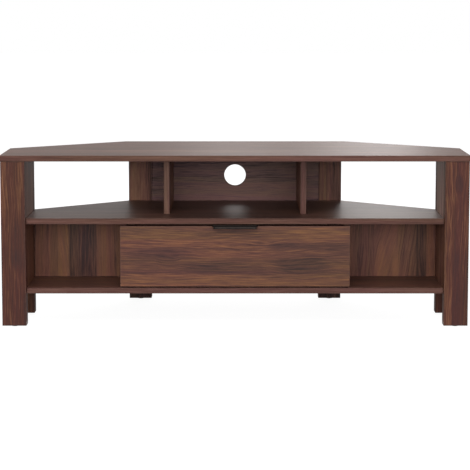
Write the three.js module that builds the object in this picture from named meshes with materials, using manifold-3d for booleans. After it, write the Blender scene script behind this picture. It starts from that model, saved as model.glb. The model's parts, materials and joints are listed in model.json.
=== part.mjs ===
// Corner television cabinet: wood effect boards on four legs and two rear posts, with open
// compartments, two niches and one drawer on folded steel roller runners.
// Millimetres. +X is the right-hand side seen from the front, the front faces -Y, +Z is up, and
// the origin lies on the floor under the middle of the cabinet.

import * as THREE from 'three';
import { mergeVertices } from 'three/addons/utils/BufferGeometryUtils.js';
import Module from 'manifold-3d';

// Whole cabinet
const cabinetWidth = 1200;
const cabinetDepth = 400;
const cabinetHeight = 442;
const seam = 0.25; // left between neighbouring boards

// Top board
const topThickness = 15;
const topOverhang = 2; // past the legs, at the front and at each side
const topPostMargin = 10; // the straight rear edge past each rear post

// Legs and posts
const legWidth = 62;
const legDepth = 30;
const sideDepth = 192; // from the front leg's front face to the rear leg's back face
const postWidth = 62;
const postDepth = 30;
const postSpread = 530; // between the middles of the two rear posts
const glideRadius = 9;
const glideThickness = 2;
const glideRim = 0.6;

// Shelves and panels
const shelfThickness = 15;
const panelThickness = 15;
const bottomShelfTop = 99;
const middleShelfTop = 279;
const shelfSetback = 12; // shelf fronts behind the legs' front faces
const nicheBackInset = 5; // niche backs in front of the rear legs' back faces
const dividerSpread = 356; // between the middles of the two dividers
const dividerSetback = 72; // divider fronts behind the shelf front
const cableHoleRadius = 30;
const cableHoleRiseShare = 0.48; // of the height between the middle shelf and the top

// Drawer box
const drawerFrontWidth = 590;
const drawerFrontThickness = 15;
const drawerGapBelow = 3;
const drawerGapAbove = 5;
const drawerRunningGap = 2; // behind the drawer front, to the partitions
const drawerRearSpace = 21; // behind the drawer, to the rear posts
const drawerSideHeight = 120;
const drawerSideThickness = 12;
const drawerBottomThickness = 3;
const grooveDepth = 6;
const grooveRise = 10; // groove above the lower edge of the drawer sides
const grooveClearance = 0.3;

// Edge pull of the drawer
const pullWidth = 118;
const pullGauge = 1.5;
const pullBend = 1.6;
const pullProjection = 13; // in front of the drawer front
const pullLip = 7; // height of the turned-down lip
const pullBackDrop = 22; // height of the plate behind the drawer front
const pullChamfer = 5;
const pullScrewSpread = 86;
const pullScrewRise = 8; // above the lower edge of the plate

// Roller runners, a folded profile on the partition and another under the drawer side
const runnerRise = 8; // lower edge of the partition profile above the bottom shelf
const runnerEndMargin = 17; // the drawer box past the rear end of its profile
const runnerGauge = 1.2;
const runnerBend = 1; // bend radius at the middle of the sheet
const runnerHeight = 27;
const runnerLowerFlange = 10.5;
const runnerUpperFlange = 6;
const runnerSideSpace = 12.5; // between the partition and the drawer side
const runnerSetback = 2; // profile ends behind the edges they start from
const runnerClearance = 0.3;
const runnerTopLift = 0.6; // drawer profile's running flange above the partition profile
const runnerSeatRise = 5; // drawer profile's carrying flange above the partition profile's foot
const runnerSeatWidth = 12;
const runnerStopHeight = 7;
const rollerRadius = 11;
const rollerWidth = 6.4;
const rollerChamfer = 0.8;
const rollerInset = 13; // roller axles from the profile ends
const rollerNotch = 27; // upper flange cut away round the front roller
const axleRadius = 2.4;
const axleClearance = 0.1;
const axleHeadRadius = 4;
const axleHeadHeight = 0.8;
const rollerRecessRadius = 5.2;
const rollerRecessDepth = 1.4;
const runnerScrewShares = { front: 0.2, rear: 0.76 }; // of the profile's length

// Screws and cam locks
const screwShankRadius = 1.6;
const screwLength = 10;
const screwTip = 2;
const screwHeadRadius = 3.4;
const screwHeadHeight = 1;
const screwHeadRimShare = 0.35; // of the head's height
const screwClearance = 0.3;
const camRadius = 7.5;
const camHeight = 12;
const camClearance = 0.3;
const camReach = 34; // cam middles from the faces they pull against
const camSlotWidth = 1.6;
const camSlotLength = 9;
const camSlotDepth = 2.5;

const cutOverrun = 1; // every cutting tool runs this far past the face it starts from

// Steps of round shapes
const holeSteps = 64;
const rollerSteps = 48;
const smallSteps = 24;
const bendSteps = 4;

// Finishes
const walnut = new THREE.MeshStandardMaterial({ color: 0x68463a, roughness: 0.5, metalness: 0 });
const walnutDark = new THREE.MeshStandardMaterial({ color: 0x523a32, roughness: 0.5, metalness: 0 });
const drawerBoard = new THREE.MeshStandardMaterial({ color: 0x5a4036, roughness: 0.6, metalness: 0 });
const hardboard = new THREE.MeshStandardMaterial({ color: 0x7a6658, roughness: 0.8, metalness: 0 });
const blackMetal = new THREE.MeshStandardMaterial({ color: 0x1a1817, roughness: 0.4, metalness: 0.6 });
const whiteSteel = new THREE.MeshStandardMaterial({ color: 0xd8d8d4, roughness: 0.45, metalness: 0.2 });
const nylon = new THREE.MeshStandardMaterial({ color: 0xece9e0, roughness: 0.5, metalness: 0 });
const zinc = new THREE.MeshStandardMaterial({ color: 0xa9abad, roughness: 0.35, metalness: 0.9 });
const blackPlastic = new THREE.MeshStandardMaterial({ color: 0x242220, roughness: 0.6, metalness: 0 });

const sides = [['left', -1], ['right', 1]];
const wasm = await Module();
wasm.setup();

// Places worked out from the sizes: heights from the floor, depths from the cabinet's middle
const undersideOfTop = cabinetHeight - topThickness;
const legFoot = glideThickness + seam;
const frontEdge = -cabinetDepth / 2;
const legFront = frontEdge + topOverhang;
const legBack = legFront + legDepth;
const rearLegBack = legFront + sideDepth;
const rearLegFront = rearLegBack - legDepth;
const legOuter = cabinetWidth / 2 - topOverhang;
const legInner = legOuter - legWidth;
const postBack = cabinetDepth / 2;
const postFront = postBack - postDepth;
const postInner = (postSpread - postWidth) / 2;
const postOuter = postInner + postWidth;

const shelfFront = legFront + shelfSetback;
const shelfBack = postFront - seam;
const bottomShelfUnder = bottomShelfTop - shelfThickness;
const middleShelfUnder = middleShelfTop - shelfThickness;
const nicheBackRear = rearLegBack - nicheBackInset;
const nicheBackFront = nicheBackRear - panelThickness;

const partitionOuter = drawerFrontWidth / 2;
const partitionInner = partitionOuter - panelThickness;
const drawerFrontBack = shelfFront + drawerFrontThickness;
const partitionFront = drawerFrontBack + drawerRunningGap;
const drawerFrontLow = bottomShelfTop + drawerGapBelow;
const drawerFrontHigh = middleShelfUnder - drawerGapAbove;

const runnerLow = bottomShelfTop + runnerRise;
const drawerSideLow = runnerLow + runnerSeatRise + runnerGauge + runnerClearance;
const drawerSideHigh = drawerSideLow + drawerSideHeight;
const drawerSideOuter = partitionInner - runnerSideSpace;
const drawerSideInner = drawerSideOuter - drawerSideThickness;
const drawerSideFront = drawerFrontBack + seam;
const drawerBackRear = postFront - drawerRearSpace;
const grooveLow = drawerSideLow + grooveRise;
const grooveHigh = grooveLow + drawerBottomThickness + 2 * grooveClearance;
const grooveReach = drawerSideInner + grooveDepth;

// Turns a three.js geometry into a solid: equal corners are merged and empty triangles dropped
function solidOf(geometry) {
  const bare = geometry.clone();
  bare.deleteAttribute('normal');
  bare.deleteAttribute('uv');
  const merged = mergeVertices(bare);
  const index = merged.index.array;
  const kept = [];
  for (let i = 0; i < index.length; i += 3) {
    const [a, b, c] = [index[i], index[i + 1], index[i + 2]];
    if (a !== b && b !== c && c !== a) kept.push(a, b, c);
  }
  return new wasm.Manifold(new wasm.Mesh({
    numProp: 3,
    vertProperties: Float32Array.from(merged.attributes.position.array),
    triVerts: Uint32Array.from(kept),
  }));
}

function geometryOf(solid) {
  const mesh = solid.getMesh();
  const geometry = new THREE.BufferGeometry();
  geometry.setAttribute('position', new THREE.BufferAttribute(Float32Array.from(mesh.vertProperties), 3));
  geometry.setIndex(new THREE.BufferAttribute(Uint32Array.from(mesh.triVerts), 1));
  const faceted = geometry.toNonIndexed();
  faceted.computeVertexNormals();
  return faceted;
}

// A geometry with others cut out of it
function cutFrom(geometry, cutters) {
  const body = cutters.reduce((left, cutter) => left.subtract(solidOf(cutter)), solidOf(geometry));
  return geometryOf(body);
}

function makeMesh(name, geometry, finish, x, y, z) {
  const mesh = new THREE.Mesh(geometry, finish);
  mesh.name = name;
  mesh.position.set(x, y, z);
  return mesh;
}

// A rectangular block between two corners, in the cabinet's own coordinates
function block(low, high) {
  const size = new THREE.Vector3().subVectors(high, low);
  const middle = new THREE.Vector3().addVectors(low, high).multiplyScalar(1 / 2);
  return new THREE.BoxGeometry(size.x, size.y, size.z).translate(middle.x, middle.y, middle.z);
}

// A rectangular board between two corners, with cutters given in the cabinet's coordinates
function board(name, finish, [x0, x1], [y0, y1], [z0, z1], cutters = []) {
  const low = new THREE.Vector3(Math.min(x0, x1), y0, z0);
  const high = new THREE.Vector3(Math.max(x0, x1), y1, z1);
  const middle = new THREE.Vector3().addVectors(low, high).multiplyScalar(1 / 2);
  const whole = block(low, high);
  const shaped = cutters.length ? cutFrom(whole, cutters) : whole;
  shaped.translate(-middle.x, -middle.y, -middle.z);
  return makeMesh(name, shaped, finish, middle.x, middle.y, middle.z);
}

// A flat prism standing on its plan outline
function prism(outline, thickness) {
  const shape = new THREE.Shape(outline.map(([x, y]) => new THREE.Vector2(x, y)));
  return new THREE.ExtrudeGeometry(shape, { depth: thickness, bevelEnabled: false });
}

// Turns a geometry whose axis is +Y so that its axis points along the given direction
function pointAlong(geometry, direction) {
  const upright = new THREE.Vector3(0, 1, 0);
  return geometry.applyQuaternion(new THREE.Quaternion().setFromUnitVectors(upright, direction));
}

// A round cutter that starts an overrun before the given mouth and goes in by the given depth
function drill(mouth, inward, radius, depth, steps) {
  const length = depth + cutOverrun;
  const tool = new THREE.CylinderGeometry(radius, radius, length, steps);
  tool.translate(0, length / 2 - cutOverrun, 0);
  return pointAlong(tool, inward).translate(mouth.x, mouth.y, mouth.z);
}

// The outline of a sheet folded along a path of straight runs: the middle line gets round bends
// of one radius, and is set off by half the gauge to both sides
function foldedOutline(path, gauge, bend) {
  const middle = [];
  const normals = [];
  const addPoint = (point, direction) => {
    middle.push(point);
    normals.push(new THREE.Vector2(-direction.y, direction.x).normalize());
  };
  const corners = path.map(([u, v]) => new THREE.Vector2(u, v));
  corners.forEach((corner, i) => {
    const before = i > 0 ? corner.clone().sub(corners[i - 1]).normalize() : null;
    const after = i < corners.length - 1 ? corners[i + 1].clone().sub(corner).normalize() : null;
    if (!before || !after) {
      addPoint(corner, before ?? after);
      return;
    }
    const turn = Math.sign(before.cross(after));
    const angle = Math.acos(before.dot(after));
    const start = corner.clone().addScaledVector(before, -bend * Math.tan(angle / 2));
    const inward = new THREE.Vector2(-before.y, before.x).multiplyScalar(turn);
    const centre = start.clone().addScaledVector(inward, bend);
    for (let step = 0; step <= bendSteps; step += 1) {
      const swing = turn * angle * step / bendSteps;
      const point = start.clone().rotateAround(centre, swing);
      addPoint(point, before.clone().rotateAround(new THREE.Vector2(), swing));
    }
  });
  const offset = (side) => middle.map((p, i) => p.clone().addScaledVector(normals[i], side * gauge / 2));
  return [...offset(1), ...offset(-1).reverse()];
}

// The plan of the top and the shelves: a straight front, straight sides as far as the given
// depth, and two slanted edges that close in on a shorter straight back
function cornerPlan(halfWidth, front, sideEnd, halfBack, back) {
  return [
    [-halfWidth, front], [halfWidth, front], [halfWidth, sideEnd],
    [halfBack, back], [-halfBack, back], [-halfWidth, sideEnd],
  ];
}

// Where the cam locks sit in the bottom shelf: beside each leg and in front of each post
const camPlaces = sides.flatMap(([side, sign]) => [
  [`front_${side}`, sign * (legInner - camReach), legFront + legDepth / 2 + shelfSetback],
  [`rear_${side}`, sign * (legInner - camReach), nicheBackFront],
  [`post_${side}`, sign * postSpread / 2, postFront - camReach],
]);

function makeTop() {
  const plan = cornerPlan(cabinetWidth / 2, frontEdge, rearLegBack + topOverhang,
    postOuter + topPostMargin, postBack);
  return makeMesh('top_panel', prism(plan, topThickness), walnut, 0, 0, undersideOfTop);
}

function makeShelf(name, underside, cutters = []) {
  const plan = cornerPlan(legInner - seam, shelfFront, nicheBackRear, postOuter, shelfBack);
  const whole = prism(plan, shelfThickness).translate(0, 0, underside);
  const shaped = cutters.length ? cutFrom(whole, cutters) : whole;
  return makeMesh(name, shaped.translate(0, 0, -underside), walnut, 0, 0, underside);
}

function makeCamPockets() {
  const up = new THREE.Vector3(0, 0, 1);
  return camPlaces.map(([, x, y]) => drill(new THREE.Vector3(x, y, bottomShelfUnder), up,
    camRadius + camClearance, camHeight + camClearance, smallSteps));
}

// A cam lock: a round zinc body with a cross slot in its face
function makeCams() {
  const slot = (width, length) => new THREE.BoxGeometry(width, 2 * camSlotDepth, length);
  const body = new THREE.CylinderGeometry(camRadius, camRadius, camHeight, smallSteps);
  body.translate(0, -camHeight / 2, 0);
  const slotted = cutFrom(body, [slot(camSlotWidth, camSlotLength), slot(camSlotLength, camSlotWidth)]);
  const down = new THREE.Vector3(0, 0, -1);
  return camPlaces.map(([place, x, y]) => makeMesh(`cam_lock_${place}`,
    pointAlong(slotted.clone(), down), zinc, x, y, bottomShelfUnder));
}

// A hard glide under a foot: a flat disc with a chamfered lower rim
function makeGlide(name, x, y) {
  const profile = [
    [0, 0], [glideRadius - glideRim, 0], [glideRadius, glideRim],
    [glideRadius, glideThickness], [0, glideThickness],
  ].map(([radius, height]) => new THREE.Vector2(radius, height));
  const disc = pointAlong(new THREE.LatheGeometry(profile, smallSteps), new THREE.Vector3(0, 0, 1));
  return makeMesh(name, disc, blackPlastic, x, y, 0);
}

function makeSide(side, sign) {
  const legSpan = [sign * legInner, sign * legOuter];
  const upright = [legFoot, undersideOfTop - seam];
  const legMiddle = sign * (legInner + legOuter) / 2;
  return [
    board(`front_leg_${side}`, walnut, legSpan, [legFront, legBack], upright),
    board(`rear_leg_${side}`, walnut, legSpan, [rearLegFront, rearLegBack], upright),
    board(`side_panel_${side}`, walnut, [sign * legInner, sign * (legInner + panelThickness)],
      [legBack + seam, rearLegFront - seam], [bottomShelfUnder, undersideOfTop - seam]),
    board(`back_post_${side}`, walnut, [sign * postInner, sign * postOuter],
      [postFront, postBack], upright),
    makeGlide(`glide_front_${side}`, legMiddle, legFront + legDepth / 2),
    makeGlide(`glide_rear_${side}`, legMiddle, rearLegBack - legDepth / 2),
    makeGlide(`glide_post_${side}`, sign * postSpread / 2, postBack - postDepth / 2),
  ];
}

function makeUpperParts() {
  const panelSpan = [-(postInner - seam), postInner - seam];
  const panelDepth = [postFront, postFront + panelThickness];
  const cableHoleRise = cableHoleRiseShare * (undersideOfTop - middleShelfTop);
  const cableHole = drill(new THREE.Vector3(0, postFront, middleShelfTop + cableHoleRise),
    new THREE.Vector3(0, 1, 0), cableHoleRadius, panelThickness + cutOverrun, holeSteps);
  const dividers = sides.map(([side, sign]) => {
    const middle = sign * dividerSpread / 2;
    return board(`divider_${side}`, walnut, [middle - panelThickness / 2, middle + panelThickness / 2],
      [shelfFront + dividerSetback, shelfBack], [middleShelfTop + seam, undersideOfTop - seam]);
  });
  return [
    board('upper_back_panel', walnutDark, panelSpan, panelDepth,
      [middleShelfUnder, undersideOfTop - seam], [cableHole]),
    board('lower_back_panel', walnutDark, panelSpan, panelDepth,
      [bottomShelfUnder, middleShelfUnder - seam]),
    ...dividers,
  ];
}

// Runner parts are laid out in two directions: u goes in from the partition's face towards the
// drawer, and v goes up from the foot of the partition profile
function runnerPoint(sign, u, y, v) {
  return new THREE.Vector3(sign * (partitionInner - u), y, runnerLow + v);
}

// A folded profile that runs from front to back
function runnerProfile(sign, path, front, back) {
  const outline = foldedOutline(path.map(([u, v]) => {
    const point = runnerPoint(sign, u, 0, v);
    return [point.x, point.z];
  }), runnerGauge, runnerBend);
  const strip = new THREE.ExtrudeGeometry(new THREE.Shape(outline),
    { depth: back - front, bevelEnabled: false });
  return strip.rotateX(Math.PI / 2).translate(0, back, 0);
}

const inwards = (sign) => new THREE.Vector3(-sign, 0, 0);
const outwards = (sign) => new THREE.Vector3(sign, 0, 0);

const drawerRunnerFront = drawerSideFront + runnerSetback;
const drawerRunnerBack = drawerBackRear - runnerEndMargin;
const runnerLength = drawerRunnerBack - drawerRunnerFront;
const cabinetRunnerFront = partitionFront + runnerSetback;
const cabinetRunnerBack = cabinetRunnerFront + runnerLength;
const webMiddle = runnerClearance + runnerGauge / 2; // of the partition profile, in u
const drawerWebMiddle = runnerSideSpace - webMiddle;
const runningFlange = runnerHeight + runnerTopLift + runnerGauge / 2; // middle of the flange, in v
const frontRollerHeight = runnerHeight + runnerTopLift - runnerClearance - rollerRadius;
const rearRollerHeight = runnerGauge + runnerClearance + rollerRadius;
const frontRollerPlace = cabinetRunnerFront + rollerInset;
const rearRollerPlace = drawerRunnerBack - rollerInset;
const rollerMiddle = runnerSideSpace / 2; // in u, the same for both rollers
const runnerScrewHeight = runnerHeight / 2;

// A riveted axle from the web it stands on, through the roller, to a flat head in its recess
function makeAxle(sign, direction, webFace, y, v) {
  const start = runnerPoint(sign, webFace, y, v);
  const rollerFar = Math.abs(rollerMiddle - webFace) + rollerWidth / 2;
  const headTop = rollerFar - rollerRecessDepth + runnerClearance + axleHeadHeight;
  const headFoot = headTop - axleHeadHeight;
  const profile = [
    [0, -runnerGauge / 2], [axleRadius, -runnerGauge / 2], [axleRadius, headFoot],
    [axleHeadRadius, headFoot], [axleHeadRadius, headTop], [0, headTop],
  ].map(([radius, height]) => new THREE.Vector2(radius, height));
  const axle = pointAlong(new THREE.LatheGeometry(profile, smallSteps), direction(sign));
  return axle.translate(start.x, start.y, start.z);
}

// A nylon roller with a bore, chamfered rims and a recess for the axle head on its far face
function makeRoller(name, sign, direction, y, v) {
  const bore = axleRadius + axleClearance;
  const half = rollerWidth / 2;
  const profile = [
    [bore, -half], [rollerRadius - rollerChamfer, -half], [rollerRadius, rollerChamfer - half],
    [rollerRadius, half - rollerChamfer], [rollerRadius - rollerChamfer, half],
    [rollerRecessRadius, half], [rollerRecessRadius, half - rollerRecessDepth],
    [bore, half - rollerRecessDepth], [bore, -half],
  ].map(([radius, height]) => new THREE.Vector2(radius, height));
  const wheel = pointAlong(new THREE.LatheGeometry(profile, rollerSteps), direction(sign));
  const place = runnerPoint(sign, rollerMiddle, y, v);
  return makeMesh(name, wheel, nylon, place.x, place.y, place.z);
}

const runnerScrewPlaces = (front) => Object.entries(runnerScrewShares)
  .map(([place, share]) => [place, front + share * runnerLength]);

// Holes for the two screws of a profile, from the given face in the given direction
function screwHoles(sign, direction, u, front, depth) {
  return runnerScrewPlaces(front).map(([, y]) => drill(runnerPoint(sign, u, y, runnerScrewHeight),
    direction(sign), screwShankRadius + screwClearance, depth, smallSteps));
}

// A screw whose head rests on the face at the given point and stands up along the direction
function makeScrew(name, seat, direction) {
  const profile = [
    [0, -screwLength], [screwShankRadius, screwTip - screwLength], [screwShankRadius, 0],
    [screwHeadRadius, 0], [screwHeadRadius, screwHeadRimShare * screwHeadHeight],
    [screwHeadRadius / 2, screwHeadHeight], [0, screwHeadHeight],
  ].map(([radius, height]) => new THREE.Vector2(radius, height));
  const screw = pointAlong(new THREE.LatheGeometry(profile, smallSteps), direction);
  return makeMesh(name, screw, zinc, seat.x, seat.y, seat.z);
}

// The partition profile: a channel open to the drawer, its upper flange cut back round the
// front roller, with a stop at the rear and a riveted axle at the front
function makeCabinetRunner(side, sign) {
  const gaugeHalf = runnerGauge / 2;
  const channel = runnerProfile(sign, [
    [runnerLowerFlange, gaugeHalf], [webMiddle, gaugeHalf],
    [webMiddle, runnerHeight - gaugeHalf], [runnerUpperFlange, runnerHeight - gaugeHalf],
  ], cabinetRunnerFront, cabinetRunnerBack);
  const webFace = runnerClearance + runnerGauge;
  const notchLow = runnerPoint(sign, webFace + runnerClearance, cabinetRunnerFront - cutOverrun,
    frontRollerHeight);
  const notchHigh = runnerPoint(sign, runnerUpperFlange + cutOverrun,
    cabinetRunnerFront + rollerNotch, runnerHeight + cutOverrun);
  const stopLow = runnerPoint(sign, webMiddle, cabinetRunnerBack - runnerGauge, gaugeHalf);
  const stopHigh = runnerPoint(sign, runnerLowerFlange, cabinetRunnerBack, runnerStopHeight);
  const ordered = (a, b) => block(a.clone().min(b), a.clone().max(b));
  const cut = cutFrom(channel, [
    ordered(notchLow, notchHigh),
    ...screwHoles(sign, outwards, webFace, cabinetRunnerFront, runnerGauge + cutOverrun),
  ]);
  const joined = solidOf(cut)
    .add(solidOf(ordered(stopLow, stopHigh)))
    .add(solidOf(makeAxle(sign, inwards, webFace, frontRollerPlace, frontRollerHeight)));
  const seat = webFace + screwClearance;
  return [
    makeMesh(`cabinet_runner_${side}`, geometryOf(joined), whiteSteel, 0, 0, 0),
    makeRoller(`cabinet_roller_${side}`, sign, inwards, frontRollerPlace, frontRollerHeight),
    ...runnerScrewPlaces(cabinetRunnerFront).map(([place, y]) => makeScrew(
      `cabinet_runner_screw_${side}_${place}`,
      runnerPoint(sign, seat, y, runnerScrewHeight), inwards(sign))),
  ];
}

// The drawer profile: a flange under the drawer side, a web, and a flange that runs on the
// front roller, with a riveted axle at the rear
function makeDrawerRunner(side, sign) {
  const seatMiddle = runnerSeatRise + runnerGauge / 2;
  const zSection = runnerProfile(sign, [
    [runnerSideSpace + runnerSeatWidth, seatMiddle], [drawerWebMiddle, seatMiddle],
    [drawerWebMiddle, runningFlange], [rollerMiddle - rollerWidth / 2, runningFlange],
  ], drawerRunnerFront, drawerRunnerBack);
  const webFace = drawerWebMiddle - runnerGauge / 2;
  const cut = cutFrom(zSection,
    screwHoles(sign, inwards, webFace, drawerRunnerFront, runnerGauge + cutOverrun));
  const joined = solidOf(cut)
    .add(solidOf(makeAxle(sign, outwards, webFace, rearRollerPlace, rearRollerHeight)));
  const seat = webFace - screwClearance;
  return [
    makeMesh(`drawer_runner_${side}`, geometryOf(joined), whiteSteel, 0, 0, 0),
    makeRoller(`drawer_roller_${side}`, sign, outwards, rearRollerPlace, rearRollerHeight),
    ...runnerScrewPlaces(drawerRunnerFront).map(([place, y]) => makeScrew(
      `drawer_runner_screw_${side}_${place}`,
      runnerPoint(sign, seat, y, runnerScrewHeight), outwards(sign))),
  ];
}

// The inner wall beside the drawer and the back of the niche beside it
function makeNiche(side, sign) {
  const heights = [bottomShelfTop + seam, middleShelfUnder - seam];
  const pilots = screwHoles(sign, outwards, 0, cabinetRunnerFront, screwLength);
  return [
    board(`drawer_partition_${side}`, walnutDark, [sign * partitionInner, sign * partitionOuter],
      [partitionFront, shelfBack], heights, pilots),
    board(`niche_back_${side}`, walnutDark,
      [sign * (partitionOuter + seam), sign * (legInner - seam)],
      [nicheBackFront, nicheBackRear], heights),
  ];
}

function makeDrawerSide(side, sign) {
  const groove = block(
    new THREE.Vector3(-grooveReach, drawerSideFront - cutOverrun, grooveLow),
    new THREE.Vector3(grooveReach, drawerBackRear + cutOverrun, grooveHigh));
  const pilots = screwHoles(sign, inwards, runnerSideSpace, drawerRunnerFront, screwLength);
  return board(`drawer_side_${side}`, drawerBoard, [sign * drawerSideInner, sign * drawerSideOuter],
    [drawerSideFront, drawerBackRear], [drawerSideLow, drawerSideHigh], [groove, ...pilots]);
}

const pullPlateLow = drawerFrontHigh + seam + pullGauge - pullBackDrop;
const pullScrewPlaces = sides.map(([side, sign]) => [side,
  sign * pullScrewSpread / 2, pullPlateLow + pullScrewRise]);

function makeDrawerBoards() {
  const backward = new THREE.Vector3(0, -1, 0);
  const groove = block(
    new THREE.Vector3(-grooveReach, drawerFrontBack - grooveDepth, grooveLow),
    new THREE.Vector3(grooveReach, drawerFrontBack + cutOverrun, grooveHigh));
  const pilots = pullScrewPlaces.map(([, x, z]) => drill(new THREE.Vector3(x, drawerFrontBack, z),
    backward, screwShankRadius + screwClearance, screwLength, smallSteps));
  const bottomReach = grooveReach - grooveClearance;
  const bottomLow = grooveLow + grooveClearance;
  return [
    board('drawer_front', walnut, [-drawerFrontWidth / 2, drawerFrontWidth / 2],
      [shelfFront, drawerFrontBack], [drawerFrontLow, drawerFrontHigh], [groove, ...pilots]),
    board('drawer_back', drawerBoard, [-(drawerSideInner - seam), drawerSideInner - seam],
      [drawerBackRear - drawerSideThickness, drawerBackRear], [grooveHigh, drawerSideHigh]),
    board('drawer_bottom', hardboard, [-bottomReach, bottomReach],
      [drawerFrontBack - grooveDepth + grooveClearance, drawerBackRear],
      [bottomLow, bottomLow + drawerBottomThickness]),
  ];
}

// The edge pull: one folded strip that hooks over the top of the drawer front, with its plate
// screwed on from inside and the front corners of its lip cut off at a slant
function makePull() {
  const half = pullGauge / 2;
  const plate = drawerFrontBack + seam + half;
  const level = drawerFrontHigh + seam + half;
  const lip = shelfFront - pullProjection + half;
  const path = [[plate, pullPlateLow], [plate, level], [lip, level], [lip, level + half - pullLip]];
  const strip = new THREE.ExtrudeGeometry(
    new THREE.Shape(foldedOutline(path, pullGauge, pullBend)),
    { depth: pullWidth, bevelEnabled: false });
  const [right, back, up] = [new THREE.Vector3(1, 0, 0), new THREE.Vector3(0, 1, 0), new THREE.Vector3(0, 0, 1)];
  strip.applyMatrix4(new THREE.Matrix4().makeBasis(back, up, right)).translate(-pullWidth / 2, 0, 0);
  const front = lip - half;
  const rear = plate + half;
  const plan = cornerPlan(pullWidth / 2, rear, front + pullChamfer, pullWidth / 2 - pullChamfer, front);
  const corners = prism(plan, 2 * pullBackDrop).translate(0, 0, pullPlateLow - pullBackDrop / 2);
  const toFront = new THREE.Vector3(0, -1, 0);
  const holes = pullScrewPlaces.map(([, x, z]) => drill(new THREE.Vector3(x, rear, z), toFront,
    screwShankRadius + screwClearance, pullGauge + cutOverrun, smallSteps));
  const trimmed = solidOf(strip).intersect(solidOf(corners));
  return [
    makeMesh('drawer_pull', cutFrom(geometryOf(trimmed), holes), blackMetal, 0, 0, 0),
    ...pullScrewPlaces.map(([side, x, z]) => makeScrew(`pull_screw_${side}`,
      new THREE.Vector3(x, rear + screwClearance, z), back)),
  ];
}

const cabinet = new THREE.Group();
cabinet.add(
  makeTop(),
  makeShelf('middle_shelf', middleShelfUnder),
  makeShelf('bottom_shelf', bottomShelfUnder, makeCamPockets()),
  ...makeCams(),
  ...sides.flatMap(([side, sign]) => makeSide(side, sign)),
  ...makeUpperParts(),
  ...sides.flatMap(([side, sign]) => makeNiche(side, sign)),
  ...sides.flatMap(([side, sign]) => makeCabinetRunner(side, sign)),
);

const drawer = new THREE.Group();
drawer.add(
  ...makeDrawerBoards(),
  ...sides.map(([side, sign]) => makeDrawerSide(side, sign)),
  ...makePull(),
  ...sides.flatMap(([side, sign]) => makeDrawerRunner(side, sign)),
);

const cornerCabinet = new THREE.Group();
cornerCabinet.add(cabinet, drawer);

export default cornerCabinet;
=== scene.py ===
"""Corner television cabinet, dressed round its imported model.

Foiled boards with softened edges, a drawer with a folded black pull, its roller runners, the
fittings under the shelf, and the studio it stands in. Metres, +Z up, the front faces -Y.
"""

import json
import math

import bpy
import numpy as np
from bpy.props import FloatProperty, FloatVectorProperty, IntProperty, PointerProperty
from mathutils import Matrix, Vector
from mathutils.geometry import tessellate_polygon

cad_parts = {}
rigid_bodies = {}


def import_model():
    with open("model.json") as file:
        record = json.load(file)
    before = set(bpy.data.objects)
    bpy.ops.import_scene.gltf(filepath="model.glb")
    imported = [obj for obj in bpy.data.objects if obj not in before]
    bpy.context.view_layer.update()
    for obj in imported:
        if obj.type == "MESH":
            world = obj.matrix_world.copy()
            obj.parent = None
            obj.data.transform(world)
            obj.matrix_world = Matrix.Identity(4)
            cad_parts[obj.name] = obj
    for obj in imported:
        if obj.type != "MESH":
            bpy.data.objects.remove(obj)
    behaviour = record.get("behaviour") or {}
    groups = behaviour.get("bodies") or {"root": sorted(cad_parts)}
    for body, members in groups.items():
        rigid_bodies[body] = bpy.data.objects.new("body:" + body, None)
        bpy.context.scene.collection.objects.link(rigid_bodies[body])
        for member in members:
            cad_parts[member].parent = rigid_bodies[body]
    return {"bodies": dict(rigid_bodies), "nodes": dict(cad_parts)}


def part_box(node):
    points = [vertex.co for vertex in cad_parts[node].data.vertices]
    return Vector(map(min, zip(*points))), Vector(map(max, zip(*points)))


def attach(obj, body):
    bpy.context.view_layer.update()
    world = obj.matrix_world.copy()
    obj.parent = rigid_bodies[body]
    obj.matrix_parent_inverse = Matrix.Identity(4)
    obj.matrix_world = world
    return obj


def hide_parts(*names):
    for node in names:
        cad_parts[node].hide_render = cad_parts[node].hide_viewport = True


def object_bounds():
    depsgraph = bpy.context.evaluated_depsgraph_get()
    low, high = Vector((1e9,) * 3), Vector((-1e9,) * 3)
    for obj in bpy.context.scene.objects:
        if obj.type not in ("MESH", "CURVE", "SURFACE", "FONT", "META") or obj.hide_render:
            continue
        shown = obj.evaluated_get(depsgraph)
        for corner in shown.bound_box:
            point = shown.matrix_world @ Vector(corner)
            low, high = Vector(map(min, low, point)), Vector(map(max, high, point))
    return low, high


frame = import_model()
cad_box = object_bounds()

bl_info = {
    "name": "Corner television cabinet",
    "version": (1, 0, 0),
    "blender": (4, 5, 0),
    "location": "View3D > Sidebar > Cabinet",
    "description": "Makes the boards, drawer, runners, fittings and studio of a corner cabinet",
    "category": "Object",
}

X, Y, Z = 0, 1, 2
MM = 0.001
QUARTER = math.pi / 2
SIDES = (("left", -1), ("right", 1))
WHITE = (1.0, 1.0, 1.0, 1.0)
PATTERN = "grain"  # the UV map that holds the place of every face corner in the foil's print
WEAR = "wear"  # the attribute that is 1 on an arris and fades to 0 beside it
BESIDE = 0.8  # the wear just beside an arris
GAP = 0.3 * MM  # left round what sits in a groove or a pocket
TIP = 0.05 * MM  # the radius at which a turned shape closes
BOARD_STEP = np.array([3.1, 0.87])  # from one board's zero in the print to the next one's
WOUND_STEP = np.array([1.7, 5.3])  # from the print of a board's faces to that of its wound sides
FINISHES = {}  # the materials made so far, by name


def screen_colour(red, green, blue):
    """A colour given as a screen shows it, 0 to 255, as the linear colour that shaders read."""
    part = np.array([red, green, blue]) / 255
    linear = np.where(part <= 0.04045, part / 12.92, ((part + 0.055) / 1.055) ** 2.4)
    return (*linear.tolist(), 1.0)


def tones(**shades):
    """The print's light, middle or dark tone by the name of its socket."""
    return {name.title(): screen_colour(*shade) for name, shade in shades.items()}


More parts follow.
